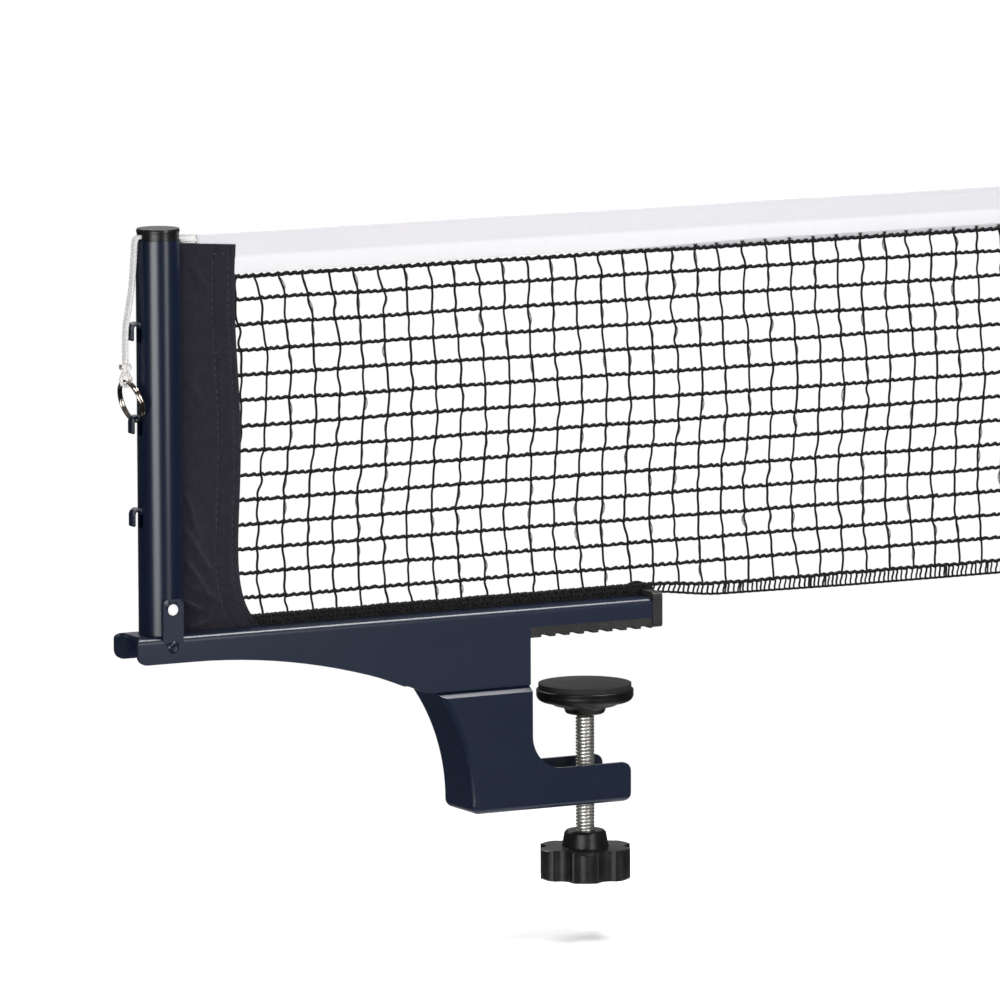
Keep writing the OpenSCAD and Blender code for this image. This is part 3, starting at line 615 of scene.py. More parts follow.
# %% [markdown]
# The lamps are soft boxes. A post this glossy mirrors only what stands level with it or a little
# lower, so two boxes that reach down below the table draw its upright streaks. One from above and one
# from behind light the rest where the upright faces don't mirror them. Together they bring a white
# cloth that faces the camera to just below white.

# %% Lamps
LAMP_AIM = Vector((-30.0, 0.0, 45.0))


def soft_box(name, turn, height, distance, width, tall, power):
    """A lamp turned this many degrees to the right of the camera's side of the clamp."""
    heading = radians(turn) - CAMERA_YAW
    away = Vector((sin(heading), -cos(heading), 0.0)) * distance
    place = LAMP_AIM + away + Vector((0, 0, height))
    light = bpy.data.lights.new(name, "AREA")
    light.shape = "RECTANGLE"
    light.size, light.size_y = width * MM, tall * MM
    light.energy = power
    lamp = add_object(name, light)
    lamp.location = place * MM
    lamp.rotation_euler = (place - LAMP_AIM).to_track_quat("Z", "Y").to_euler()
    print(f"{name}: {power:g} W at {[round(v) for v in place]}")


soft_box("left_streak", -20.5, -10, 2000, 1080, 640, 20.0)
soft_box("right_streak", 38, 250, 1200, 340, 760, 5.3)
soft_box("top_box", 102, 1050, 500, 600, 330, 12.5)
soft_box("rear_box", -152, 1250, 1150, 900, 900, 21.0)

# %% [markdown]
# The room round the clamp is dim, and dimmer still below. The white backdrop is a board behind the
# clamp: the camera sees nothing else past the clamp, and shiny metal mirrors it where it stands.

# %% World
ROOM_ABOVE, ROOM_BELOW = 0.12, 0.02
BACKDROP_WAY = Vector((0.465, 0.875, -0.135))
BACKDROP_FADE, BACKDROP_FULL = 21.0, 8.5

world = bpy.data.worlds.new("room")
tree = Nodes(world)
tree.tree.nodes.clear()
way = tree.node("TexCoord").outputs["Generated"]
height = tree.node("SeparateXYZ", Vector=way).outputs["Z"]
room = tree.row("Background", (0.96, 0.98, 1.0, 1),
                tree.spread(height, -0.5, 0.5, ROOM_BELOW, ROOM_ABOVE))
facing = tree.node("VectorMath", {"operation": "DOT_PRODUCT"})
tree.join((way, BACKDROP_WAY), facing.inputs)
board = tree.spread(facing.outputs["Value"], cos(radians(BACKDROP_FADE)),
                    cos(radians(BACKDROP_FULL)))
ray = tree.node("LightPath").outputs
seen = tree.math("MAXIMUM", ray["Is Camera Ray"], ray["Is Transmission Ray"])
seen = tree.math("MAXIMUM", seen, tree.math("MULTIPLY", ray["Is Glossy Ray"], board))
backdrop = tree.row("Background", (1, 1, 1, 1), 1.0)
tree.node("OutputWorld", Surface=tree.row("MixShader", seen, room, backdrop))
bpy.context.scene.world = world
bpy.context.scene.view_settings.view_transform = "Standard"
print("world ready, room from", ROOM_BELOW, "to", ROOM_ABOVE)

# %% [markdown]
# ## Tension cord
# A white cord runs out of the top band, over the post under its cap, down to a knot, and loops through
# a split ring on the post's hook. Such cord is three thin strands laid together, each modelled as a
# helix, because a bump can't give their lumpy edge. The route is that of the model's own solids.

# %% Cord route
CORD_D = 1.6
CORD_STEP = 0.4
KNOT = Vector((post_x - 13.2, 0.0, 106.4))
KNOT_HALF = 1.7


def strand_route(side):
    """The front strand has side -1 and the rear one 1."""
    over, out, rest = net_height - 1.3, 0.9 * side, post_top + 1.2
    start = [(15, 0, over + side), (12, 0, over + side), (8, 0, net_height - 1.2 + out),
             (4, 0.7 * side, post_top + 1.1 + 0.6 * side)]
    down = [(0, rest), (-4, rest), (-7.6, rest), (-8.8, post_top + 0.5), (-9.3, post_top - 1.4),
            (-9.6, 145), (-10.6, 134), (-12.4, 124), (-13, 120), (-13.2, 114),
            (-13.2, KNOT.z + KNOT_HALF + 2), (-13.2, KNOT.z + KNOT_HALF)]
    return [(post_x + x, y, z) for x, y, z in start + [(x, out, z) for x, z in down]]


RING_WIRE = 0.95
RING_R = (16 - RING_WIRE) / 2
RING_FOOT = Vector((post_x - 9.2, 0, 87.35))
RING_LEAN = radians(15)
RING_TOP = RING_FOOT + 2 * RING_R * Vector((-sin(RING_LEAN), 0, cos(RING_LEAN)))


def loop_route():
    """Out of the knot, down through the ring and back up, as one line."""
    low = RING_TOP.z - RING_WIRE - CORD_D / 2 - 0.2
    knot_low = KNOT.z - KNOT_HALF

    def half(side):
        return [(KNOT.x + 0.9 * side, 0, knot_low), (KNOT.x + 0.9 * side, 0, knot_low - 0.8),
                (RING_TOP.x + 1.8 * side, 0.2 * side, (knot_low + low) / 2 + 0.6),
                (RING_TOP.x + 1.9 * side, 0.3 * side, low + 1.6),
                (RING_TOP.x + 1.1 * side, 0.2 * side, low + 0.5)]
    return half(1) + [(RING_TOP.x, 0, low)] + half(-1)[::-1]


strand_paths = {side: smooth_path(strand_route(side), 8) for side in (-1, 1)}
for side, path in strand_paths.items():
    print("strand", side, "is", round(path_length(path), 1), "mm long")

# %% Laid cord
def laid_cord(mesher, path, lay=4.2, phase=0.0):
    """Three strands wound round the path, one full turn in every lay."""
    strand_r, helix_r = 0.43, 0.38
    gone = [path_length(path[:i + 1]) for i in range(len(path))]
    for strand in range(3):
        start = phase + tau * strand / 3
        mesher.tube([on_circle(*place, start + tau * far / lay, helix_r)
                     for place, far in zip(carried(path), gone)], strand_r, 8)


def even_path(path, step):
    """The same line with its points at equal distances."""
    total = path_length(path)
    count = max(2, round(total / step))
    points, gone, i = [path[0]], 0.0, 0
    for k in range(1, count):
        want = total * k / count
        while gone + (path[i + 1] - path[i]).length < want:
            gone += (path[i + 1] - path[i]).length
            i += 1
        piece = path[i + 1] - path[i]
        points.append(path[i] + piece * ((want - gone) / piece.length))
    return points + [path[-1]]


cord_pieces = {}
for side, name, node in ((-1, "tension_cord_front", "cord_strand_front"),
                         (1, "tension_cord_rear", "cord_strand_rear")):
    strand_paths[side] = even_path(strand_paths[side], CORD_STEP)
    mesher = Mesher()
    laid_cord(mesher, strand_paths[side], phase=0.6 * side)
    cord_pieces[side] = mesher.build(name, [white_cord], "frame", "white_cord", node)

mesher = Mesher()
laid_cord(mesher, even_path(smooth_path(loop_route(), 8), CORD_STEP))
loop_piece = mesher.build("tension_cord_loop", [white_cord], "frame", "white_cord", "cord_loop")

# %% [markdown]
# The knot is an overhand knot pulled tight. A trefoil is the closed form of that knot, and small and
# thick it looks just like it. The cut end sticks out beside it, frayed, with brownish tips.

# %% Knot
def knot_line():
    """A trefoil seen from the front, slightly flattened."""
    return [KNOT + Vector((0.50 * (sin(t) + 2 * sin(2 * t)), -0.75 * sin(3 * t),
                           0.44 * (cos(t) - 2 * cos(2 * t)))) for t in ring_angles(72)]


# The frayed tips of the cut end are coloured brown
brown_tip_fibre = fibre("brown_tip_fibre", srgb(112, 100, 82), srgb(150, 138, 118), 0.8)
mesher = Mesher()
mesher.tube(knot_line(), lambda i: 0.86 + 0.06 * cos(i * 1.05), 10, closed=True)
cut_end = ((-0.4, -0.8, 0.6), (-1.4, -1.1, 0.9), (-2.3, -1.1, 0.6))
end = smooth_path([KNOT + Vector(p) for p in cut_end], 6)
laid_cord(mesher, end, lay=5)
frays = random.Random(3)
for fray in range(16):
    start = end[-1] + Vector((0.3, frays.uniform(-0.6, 0.6), frays.uniform(-0.6, 0.6)))
    tip = start + Vector((-frays.uniform(0.4, 0.8),
                          frays.uniform(-0.4, 0.4), frays.uniform(-0.4, 0.4)))
    mesher.tube([start, (start + tip) / 2 + Vector((0, 0.1, 0.1)), tip], 0.16, 5, slot=1)
knot_piece = mesher.build("tension_knot", [white_cord, brown_tip_fibre], "frame",
                          "white_cord", "cord_knot")

for side, piece in cord_pieces.items():
    path = [tuple(p * MM) for p in strand_paths[side]]
    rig.cord(piece, exit=path[0], length=path_length(strand_paths[side]) * MM,
            diameter=CORD_D * MM, far_end="knot", stiffness="limp", lay="taut", path=path,
            with_pieces=[knot_piece, loop_piece] if side < 0 else [])
print("cords declared")

# %% [markdown]
# ## Split ring
# A split ring is flat spring wire wound almost twice round. One long helix does it: both ends lie at
# the top, and each end shows as a small step.

# %% Split ring
def ring_line():
    turns, steps = 1.92, 150
    climb = turns * (RING_WIRE + 0.04)
    place = (Matrix.Translation(RING_FOOT) @ Matrix.Rotation(radians(5), 4, "Z")
             @ Matrix.Rotation(-RING_LEAN, 4, "Y") @ Matrix.Translation((0, 0, RING_R))
             @ Matrix.Rotation(radians(90), 4, "Y"))
    spiral = [(tau * turns * i / steps - pi * (turns - 1), i / steps - 0.5) for i in range(steps + 1)]
    return [place @ Vector((RING_R * cos(a), RING_R * sin(a), climb * t)) for a, t in spiral]


mesher = Mesher()
mesher.tube(ring_line(), RING_WIRE / 2, 14)
mesher.build("spring_ring", [nickel_plate], "frame", "nickel", "split_ring")

# %% [markdown]
# ## Net
# The net is knitted: fourteen chain-stitched cords run along it, and thinner ones run down and are
# caught at each chain. Its look is in its outline, which an image on a flat sheet can't give, so every
# cord is a tube. First come functions that say where a chain and an upright are, with the small drifts
# of a net pulled tight by hand. The tubes then only follow them.

# %% Net layout
def clamp(value):
    return max(0.0, min(1.0, value))


def ease(value, start, end):
    """0 before start, 1 past end, and a soft S in between."""
    share = clamp((value - start) / (end - start))
    return share * share * (3 - 2 * share)


def waver(x, y, z):
    """Smooth noise, from about -1 to 1."""
    return noise.noise(Vector((x, y, z)))


net_random = random.Random(11)
CHAIN_TOP = 136.2
CHAIN_NEXT = 128.1
CHAIN_PITCH = 8.89
CHAINS = 14
UPRIGHT_FIRST = -130.2
UPRIGHT_PITCH = 9.88
UPRIGHTS = 32
STITCH = 3.26
SAG_END = bracket_high.x + 30
MESH_END = net_right - 12
SLACK_SHARE = 0.4
LADDER_STEP, BUNCH_STEP = 0.54, 0.5
SINGLE_RUNGS = 0.92


def sleeve_edge(z):
    """The right edge of the dark sleeve, which widens at its foot."""
    return (post_x + 30.6 + 1.0 * cos(tau * (z - 78) / 105)
            + 8.5 * exp(-(z - bracket_top) / 9))


def chain_height(chain, x):
    """The height of a chain; the last cell ends on the ladder edge."""
    drift = 0.35 * waver(x * 0.03, chain * 3.1, 0)
    if chain == 0:
        return CHAIN_TOP + drift * 0.5
    if chain < CHAINS:
        return CHAIN_NEXT - CHAIN_PITCH * (chain - 1) - 0.8 * sin(pi * (chain - 1) / 12) + drift
    return ladder_top(x)


def ladder_top(x):
    """The chain of the ladder edge lies on the bracket and sags a little past its end."""
    return 14.6 - 1.7 * ease(x, bracket_high.x, SAG_END) + 0.25 * waver(x * 0.08, 7, 0)


def ladder_bottom(x):
    further = clamp((x - bracket_high.x) / 85)
    return bracket_top + 0.35 - 2.3 * ease(x, bracket_high.x, SAG_END) - 0.95 * further


def stitch_wave(phase, peak):
    """Climbs from 0 to 1 over the peak's share of a stitch, and then falls back faster."""
    saw = phase % 1.0
    return saw / peak if saw < peak else (1 - saw) / (1 - peak)


crossing_jitter = {}


def upright_x(upright, chain):
    """Where an upright crosses a chain."""
    key = (upright, chain)
    if key not in crossing_jitter:
        crossing_jitter[key] = net_random.gauss(0, 0.3)
    x = UPRIGHT_FIRST + UPRIGHT_PITCH * upright
    left = max(0.0, 1 - upright / 10)
    wide = 1.9 * cos(tau * (chain - 4.5) / 13)
    narrow = 1.2 * cos(tau * (chain - 6) / 8.5)
    lean = -2.0 if chain == 0 else 0.0
    return x + left * wide + (1 - left) * narrow + lean + crossing_jitter[key]


print("net:", CHAINS, "chains,", UPRIGHTS, "uprights")

# %% Chains
def chain_tubes(mesher):
    """Chain stitches: a saw-like wave whose thick part is the new loop."""
    for chain in range(CHAINS):
        start = sleeve_edge(chain_height(chain, tape_left)) - 2.5
        count = int((MESH_END - start) / (STITCH / 6))
        shift = net_random.random()
        line, radii = [], []
        for i in range(count):
            x = start + i * STITCH / 6
            phase = x / STITCH + shift + 0.4 * waver(x * 0.2, chain * 5.0, 2)
            wave = stitch_wave(phase, 0.7)
            rough = waver(x * 0.9, chain * 2.3, 5)
            line.append(Vector((x, 0.16 * cos(tau * phase),
                                chain_height(chain, x) + 0.66 * (wave - 0.5) + 0.18 * rough)))
            radii.append((0.64 if chain == 0 else 0.57) + 0.18 * wave + 0.07 * rough)
        mesher.tube(line, radii.__getitem__, 6)


def upright_tubes(mesher):
    """One slightly bent thread from chain to chain, and here and there a slack grey one beside it."""
    for upright in range(-1, UPRIGHTS):
        for chain in range(CHAINS):
            if upright < 0 and chain > 9:
                continue
            x0, x1 = upright_x(upright, chain), upright_x(upright, chain + 1)
            if upright < 0:
                x0, x1 = (max(x, sleeve_edge(60) - 1 + 0.4 * net_random.random()) for x in (x0, x1))
            z0, z1 = chain_height(chain, x0), chain_height(chain + 1, x1)
            sway, bow = net_random.gauss(0, 0.2), net_random.gauss(0, 0.26)
            line = [Vector((x0 + (x1 - x0) * t + sway * sin(tau * t) + bow * sin(pi * t),
                            0.1 * sin(3 * t + upright), z0 + (z1 - z0) * t)) for t in shares(8)]
            mesher.tube(line, net_random.uniform(0.38, 0.45), 6)
            knot = [Vector((x0 + 0.1, -0.46, z0 + 0.75)), Vector((x0, -0.66, z0 + 0.1)),
                    Vector((x0 + 0.05, -0.44, z0 - 0.7))]
            mesher.tube(smooth_path(knot, 3), 0.38, 6)
            slack_here = net_random.random() < SLACK_SHARE
            reach = net_random.uniform(0.5, 1.25) * (1 if net_random.random() < 0.8 else -1)
            if slack_here and upright > 0:
                for share in (1.0, 0.7, 0.4):
                    slack = [p + Vector((reach * share * sin(pi * min(1, i / 7)) ** 1.5, 0.1, 0))
                             for i, p in enumerate(line[:8])]
                    mesher.tube(slack, 0.12, 4, slot=1)


HEM_LIFT = 0.8
HEM_LIFT_FROM, HEM_LIFT_TO = 15.0, 75.0


def hem_lift(x):
    """How far the band's front hem lies above its back one, well away from the clamp."""
    return HEM_LIFT * ease(x, HEM_LIFT_FROM, HEM_LIFT_TO)


def fork_tubes(mesher):
    """Where the hem lifts, each upright shows the small fork by which it hangs from the band."""
    for upright in range(UPRIGHTS):
        x = upright_x(upright, 0)
        lift = hem_lift(x)
        if lift > 0.4:
            foot = Vector((x, -0.35, chain_height(0, x)))
            split = foot + Vector((0, 0, 0.75 + 0.3 * lift))
            mesher.tube([foot, split], 0.36, 6)
            for way in (-1, 1):
                mesher.tube([split, split + Vector((0.62 * way, 0, 0.65))], 0.25, 5)


print("chain and upright makers ready")

# %% [markdown]
# The bottom of the net is a ladder edge: a chain, a thin cord below it, and short rungs that lean and
# curl. On the bracket it is bunched into one dark braid; past the bracket's end cap it opens.

# %% Ladder edge
def ladder_tubes(mesher):
    start = sleeve_edge(bracket_top) - 3
    for height, thick, wave_size in ((ladder_top, 0.66, 0.6), (ladder_bottom, 0.46, 0.16)):
        line = []
        for i in range(int((MESH_END - start) / LADDER_STEP)):
            x = start + i * LADDER_STEP
            rise = wave_size * (stitch_wave(x / STITCH, 0.6) - 0.5)
            line.append(Vector((x, 0.1 * cos(tau * x / STITCH), height(x) + rise)))
        mesher.tube(line, thick, 6)
    x = bracket_high.x + 2.0
    while x < MESH_END - 1:
        fresh = max(0.0, 1 - (x - bracket_high.x) / 40)
        for twin in range(1 if net_random.random() < SINGLE_RUNGS else 2):
            lean = net_random.uniform(-0.25, 0.45) + 0.9 * fresh
            curl = net_random.uniform(0.1, 0.32)
            top, low = ladder_top(x), ladder_bottom(x)
            at = x + 0.8 * twin
            line = [Vector((at + lean * (0.5 - t) + curl * sin(tau * t),
                            0.2 - 0.4 * t, top + (low - top) * t)) for t in shares(7)]
            mesher.tube(line, net_random.uniform(0.33, 0.41), 6)
        x += net_random.uniform(1.7, 2.35)


BUNCH_LAYERS = 5
LUMP_X = bracket_high.x - 5.5


def bunched_tubes(mesher):
    """The same ladder lying on the bracket, with a small lump of slack in front of the end cap."""
    start = sleeve_edge(bracket_top) - 3
    end = bracket_high.x + 2.0
    low = web_top + 0.42
    for layer in range(BUNCH_LAYERS):
        share = layer / (BUNCH_LAYERS - 1)
        line = []
        for i in range(int((end - start) / BUNCH_STEP)):
            x = start + i * BUNCH_STEP
            wave = 0.75 * (stitch_wave(x / STITCH + 0.37 * layer, 0.6) - 0.5)
            wave += 0.16 * waver(x * 0.45, layer * 9.0, 1)
            line.append(Vector((x, 0.35 * (layer % 2) - 0.35,
                                low + share * (ladder_top(x) - low) + wave)))
        mesher.tube(line, 0.58, 6)
    mesher.tube([Vector((x, -0.4, low)) for x in (start, end)], 0.42, 6)
    for rise in (1.1, 2.1, 3.1):
        mesher.tube([Vector((x, 0.25, web_top + rise)) for x in (start, LUMP_X, end - 1.2)], 0.62, 6)
    foot = ladder_top(LUMP_X)
    for rise in (0.5, 1.1):
        lump = [(LUMP_X - 4.2, -0.1, foot), (LUMP_X - 1.5, -0.2, foot + rise),
                (LUMP_X + 1.2, -0.2, foot + rise), (LUMP_X + 4.0, -0.1, foot)]
        mesher.tube(smooth_path(lump, 5), 0.42, 6)
    x = start
    while x < end:
        lean = net_random.uniform(-1.5, 1.5)
        middle = Vector((x + 0.3 * lean, -0.92, web_top + 1.9))
        mesher.tube(smooth_path([(x - lean, -0.60, web_top + 0.5), middle,
                                 (x + lean, -0.60, ladder_top(x) - 0.2)], 3), 0.36, 5)
        x += net_random.uniform(1.5, 2.2)


mesher = Mesher()
chain_tubes(mesher)
upright_tubes(mesher)
fork_tubes(mesher)
ladder_tubes(mesher)
bunched_tubes(mesher)
net_piece = mesher.build("net_cords", [net_cord, loose_thread], "frame", "black_cord",
                         "net_mesh", "net_selvedge")
NET_FLAT = (mesh_right - tape_left - 15.4, tape_bottom - bracket_top + 2.6)
CORD_SHARE = 0.40
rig.sheet(net_piece, flat=(NET_FLAT[0] * MM, NET_FLAT[1] * MM), held="stretched",
         area=CORD_SHARE * NET_FLAT[0] * NET_FLAT[1] * MM ** 2)

# %% [markdown]
# ## White band
# The band is a strip of white cloth folded over the net's upper cord. Its section is a hairpin with a
# rounded top, and a faint step where the hem inside ends. It is swept along the net in short steps, so
# that it can wave a little, and Solidify gives it its thickness.

# %% Band section
BAND_T = 0.34
BAND_STEPS = 240


def thicken(sheet, thickness):
    solid = sheet.modifiers.new("thickness", "SOLIDIFY")
    solid.thickness, solid.offset = thickness * MM, 0


def band_section():
    """Points (y, z) from the front hem over the fold to the back hem."""
    front = [(-0.56, tape_bottom), (-0.60, tape_bottom + 0.4), (-0.60, BAND_FOLD - 0.3),
             (-0.50, BAND_FOLD + 0.2)]
    front += [(-0.50 - 0.06 * sin(pi * k / 6), BAND_FOLD + 0.6 + k * 1.15) for k in range(7)]
    top = net_height - 0.62
    over = [(-0.60 * cos(a), top + 0.45 * sin(a)) for a in (pi * k / 8 for k in range(9))]
    return front + over + [(-y, z) for y, z in reversed(front)]


# The hem strip's cloth is a greyer copy of the white band: painted shade behind the front layer
hem_tape_painted_shade = fibre("hem_tape_painted_shade", srgb(226, 224, 229), srgb(240, 238, 243), 0.85)
rows = []
for i in range(BAND_STEPS + 1):
    x = tape_left + (tape_right - tape_left) * i / BAND_STEPS
    row = []
    for y, z in band_section():
        hang = (net_height - z) / (net_height - tape_bottom)
        wave = 0.22 * hang * waver(x * 0.035, z * 0.05, 4)
        lift = hem_lift(x) * hang ** 6 if y < 0 else 0.0
        row.append(Vector((x, y + wave, z + lift + 0.12 * waver(x * 0.02, 0, 9))))
    rows.append(row)
mesher = Mesher()
mesher.grid(rows)
# The hem inside the fold shows as a strip just below the cloth, in a greyer cloth: painted shade
hem = [x for x in (tape_left + 3 * k for k in range(200)) if HEM_LIFT_FROM - 10 < x < tape_right - 1]
mesher.grid([[Vector((x, 0.1, tape_bottom + z)) for z in (-0.9, 3)] for x in hem], slot=1)
top_band = mesher.build("top_band", [band_cloth, hem_tape_painted_shade], "frame", "white_cloth", "net_tape")
thicken(top_band, BAND_T)
BAND_FLAT = (2 * (net_height - tape_bottom) + 0.4, tape_right - tape_left)
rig.sheet(top_band, flat=(BAND_FLAT[0] * MM, BAND_FLAT[1] * MM), held="folded")
print("band cut to", [round(v, 1) for v in BAND_FLAT], "mm")

# %% [markdown]
# ## Sleeves
# At each end of the net a dark cloth is folded round a rod and sewn to the net, like a hairpin seen
# from above. The near rod sits inside the slit post, so only the flat part shows. Creases are lines of
# raised cloth that fade out, and at the seams the two layers are pulled together.

# %% Sleeve tools
ROD_WRAP = 2.9
SLEEVE_T = 0.7
SEAM_GAPS = (2.6, 9.0)
SLEEVE_ROWS, SLEEVE_COLUMNS = 260, 60
near_rod_x, far_rod_x = middle_mm("net_rod").x, middle_mm("far_rod").x


def line_share(x, z, start, end, width):
    """1 on the line from start to end and 0 away from it, softly."""
    along = Vector((end[0] - start[0], end[1] - start[1]))
    t = clamp(((x - start[0]) * along.x + (z - start[1]) * along.y) / along.length_squared)
    gap = hypot(x - start[0] - t * along.x, z - start[1] - t * along.y)
    return exp(-(gap / width) ** 2) * sin(pi * (0.12 + 0.80 * t)) ** 0.7


NEAR_CREASES = [((-161, 47), (-151, 31), 1.1, 0.8), ((-161, 36), (-153, 25), 0.9, 0.8),
                ((-162, 21.5), (-156, 18.4), 0.8, 0.8), ((-160, 12.4), (-152.5, 14.0), 0.7, 0.9),
                ((-160, 28), (-148, 21), 1.0, 0.6), ((-161, 60), (-156, 44), 1.2, 0.5),
                ((-160, 100), (-152, 90), 1.6, 0.3), ((-158, 141), (-152, 132), 1.4, 0.3),
                ((-158.9, 29), (-154.2, 33.3), 0.5, 0.55), ((-154.2, 33.3), (-146.3, 33.8), 0.5, 0.5),
                ((-161.4, 21.7), (-154.0, 18.0), 0.5, 0.6), ((-160, 11.6), (-155.2, 13.2), 0.5, 0.7)]


def sleeve_piece(name, node, rod_x, edge, z_low, top, creases, seams):
    """edge(z) is the sewn edge and top(x) the upper one; returns the cloth's width as well."""
    way = 1 if edge(80) > rod_x else -1
    rows = []
    for share in shares(SLEEVE_ROWS):
        z0 = z_low + share * (top(rod_x + way * 10) - z_low)
        flat_start = rod_x + way * 3.4
        flat = [flat_start + (edge(z0) - flat_start) * (1 - t) for t in shares(SLEEVE_COLUMNS)]
        front = []
        for x in flat:
            z = z_low + share * (top(x) - z_low)
            free = clamp(abs(x - flat_start) / 4 - 0.4)
            near_edge = min(1.0, abs(edge(z0) - x) / 2.5)
            y = -0.42 - 0.38 * near_edge
            y -= 0.22 * free * near_edge * waver(x * 0.09, 3, z * 0.05)
            for start, end, width, height in creases:
                y -= height * line_share(x, z, start, end, width) * near_edge
            for gap in seams:
                y += 0.24 * exp(-((abs(edge(z0) - x) - gap) / 0.45) ** 2)
            front.append(Vector((x, y, z)))
        wrap = [Vector((rod_x + way * ROD_WRAP * cos(a), -ROD_WRAP * sin(a), z0))
                for a in (radians(30 + 300 * k / 14) for k in range(15))]
        back = [Vector((p.x, 0.1 * waver(p.x * 0.08, 9, p.z * 0.06) - p.y, p.z))
                for p in reversed(front)]
        rows.append(front + wrap + back)
    mesher = Mesher()
    mesher.grid(rows)
    piece = mesher.build(name, [sleeve_cloth], "frame", "sleeve_cloth", node)
    thicken(piece, SLEEVE_T)
    return piece, path_length(rows[SLEEVE_ROWS // 2])


def stitch_row(mesher, points, side, stitch=1.9, gap=0.7):
    """Short threads laid along a line of (x, z) points on the front (-1) or the back (1)."""
    line = even_path([Vector((x, 0, z)) for x, z in points], 0.3)
    every = round((stitch + gap) / 0.3)
    long = round(stitch / 0.3)
    for i in range(0, len(line) - long, every):
        mesher.tube([line[i + k] + Vector((0, side * (0.80 + 0.28 * sin(pi * k / long) ** 0.5), 0))
                     for k in range(long + 1)], 0.16, 5)


def near_top(x):
    return 149.4 - 1.5 * clamp((x + 161.5) / 21.3)


near_sleeve, near_wide = sleeve_piece("near_sleeve", "end_sleeve", near_rod_x, sleeve_edge,
                                      web_top, near_top, NEAR_CREASES, SEAM_GAPS)
print("near sleeve", round(near_wide, 1), "mm of cloth round the rod")

# %% Near sleeve's seams
mesher = Mesher()
heights = [20 + k * 1.25 for k in range(101)]
for side in (-1, 1):
    for gap in SEAM_GAPS:
        stitch_row(mesher, [(sleeve_edge(z) - gap, z) for z in heights if z < 145.5], side)
    for z in (145, 110):
        stitch_row(mesher, [(sleeve_edge(z) - SEAM_GAPS[1], z),
                            (sleeve_edge(z) - SEAM_GAPS[0], z - 0.3)], side)
near_seam_piece = mesher.build("near_sleeve_seams", [seam_thread], "frame", "sleeve_cloth")
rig.sheet(near_sleeve, flat=(near_wide * MM, (near_top(-150) - web_top) * MM), held="folded",
         with_pieces=[near_seam_piece])

# %% Far sleeve
far_low, far_high = box_mm("far_sleeve")
far_top = far_high.z
far_sleeve, far_wide = sleeve_piece(
    "far_sleeve_cloth", "far_sleeve", far_rod_x, lambda z: far_low.x, far_low.z, lambda x: far_top,
    [((194, 60), (186, 50), 1.4, 0.3), ((194, 30), (187, 22), 1.2, 0.35)], SEAM_GAPS[:1])
mesher = Mesher()
for side in (-1, 1):
    stitch_row(mesher, [(far_low.x + SEAM_GAPS[0], z) for z in (far_low.z + 4, far_top - 4)], side)
far_seam_piece = mesher.build("far_sleeve_seams", [seam_thread], "frame", "sleeve_cloth")
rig.sheet(far_sleeve, flat=(far_wide * MM, (far_top - far_low.z) * MM), held="folded",
         with_pieces=[far_seam_piece])
print("far sleeve", round(far_wide, 1), "mm of cloth round the rod")

# %% [markdown]
# ## Clamp screw
# The model's screw is a plain rod. A real thread is a ridge wound round it, so in a grid of points the
# radius depends on how far round and how far up a point is. One turn climbs one pitch. The crests keep
# the zinc's own bright tone, and the groove is painted a darker grey: painted shade.

# %% Threaded screw
PITCH = 1.25
ROOT_R, CREST_R = 2.66, 3.4
FINE_SIDES = 96
screw_low, screw_high = box_mm("clamp_screw")
shoulder_z = box_mm("pressure_pad")[0].z - 0.3


def thread_radius(phase):
    """A broad rounded crest and a narrow groove that runs out in a sharp root."""
    from_root = abs((phase + 0.5) % 1.0 - 0.5) / 0.33
    return ROOT_R + (CREST_R - ROOT_R) * sin(pi / 2 * min(1.0, from_root)) ** 0.85


def threaded_zinc():
    metal = Finish("threaded_zinc", Metallic=1.0)
    radius = metal.length(metal.stretched(1, 1, 0))
    crest = metal.spread(radius, (ROOT_R + 0.1) * MM, (CREST_R - 0.25) * MM)
    crest_zinc_tone = metal.blend(metal.noise(2.5, 4), srgb(249, 248, 244), srgb(228, 226, 220))
    # The groove's dark grey is painted shade; the crests keep the zinc's own tone
    metal.colour(crest, srgb(136, 132, 125), crest_zinc_tone)
    metal.roughness(crest, 0, 1, 0.55, 0.38)
    metal.bump((metal.noise(0.25, 2), 0.0005))
    return metal.material


def screw_ring(z, radius):
    return [Vector((radius(a) * cos(a), radius(a) * sin(a), z)) for a in ring_angles(FINE_SIDES)]


rows = []
step = PITCH / 16
for i in range(int((shoulder_z - 0.8 - screw_low.z) / step) + 1):
    z = screw_low.z + i * step
    rows.append(screw_ring(z, lambda a: thread_radius(z / PITCH - a / tau)))
for z, r in ((shoulder_z - 0.6, 2.75), (shoulder_z - 0.1, 2.6), (shoulder_z, 2.5),
             (screw_high.z - 0.85, 2.5), (screw_high.z - 0.8, 2.0), (screw_high.z - 0.05, 2.0)):
    rows.append(screw_ring(z, lambda a: r))
mesher = Mesher()
mesher.grid(rows, wrap=True, capped=True)
mesher.build("threaded_screw", [threaded_zinc()], "screw", "zinc", "clamp_screw")

# %% [markdown]
# ## Turned pieces
# The foot rivet and the pressure pad are turned on a lathe in code: a closed outline of radius and
# height is swept round an axis. The rivet's small head is rolled over and dimpled. The pad has a
# rounded rim, a shallow cone under it and a tapered hub round the screw.

# %% Lathe
def turned(mesher, outline, place, sides=48):
    """Sweeps a closed outline of (radius, height) points; place(a, r, h) is the point at angle a."""
    rows = [[place(a, r, h) for a in ring_angles(sides)] for r, h in outline]
    mesher.grid(rows + rows[:1], wrap=True)


def arc(centre, radius, start, end, count=6):
    """Points (r, h) on an arc between angles in degrees."""
    return [(centre[0] + radius * cos(a), centre[1] + radius * sin(a))
            for a in (radians(start + (end - start) * k / count) for k in range(count + 1))]

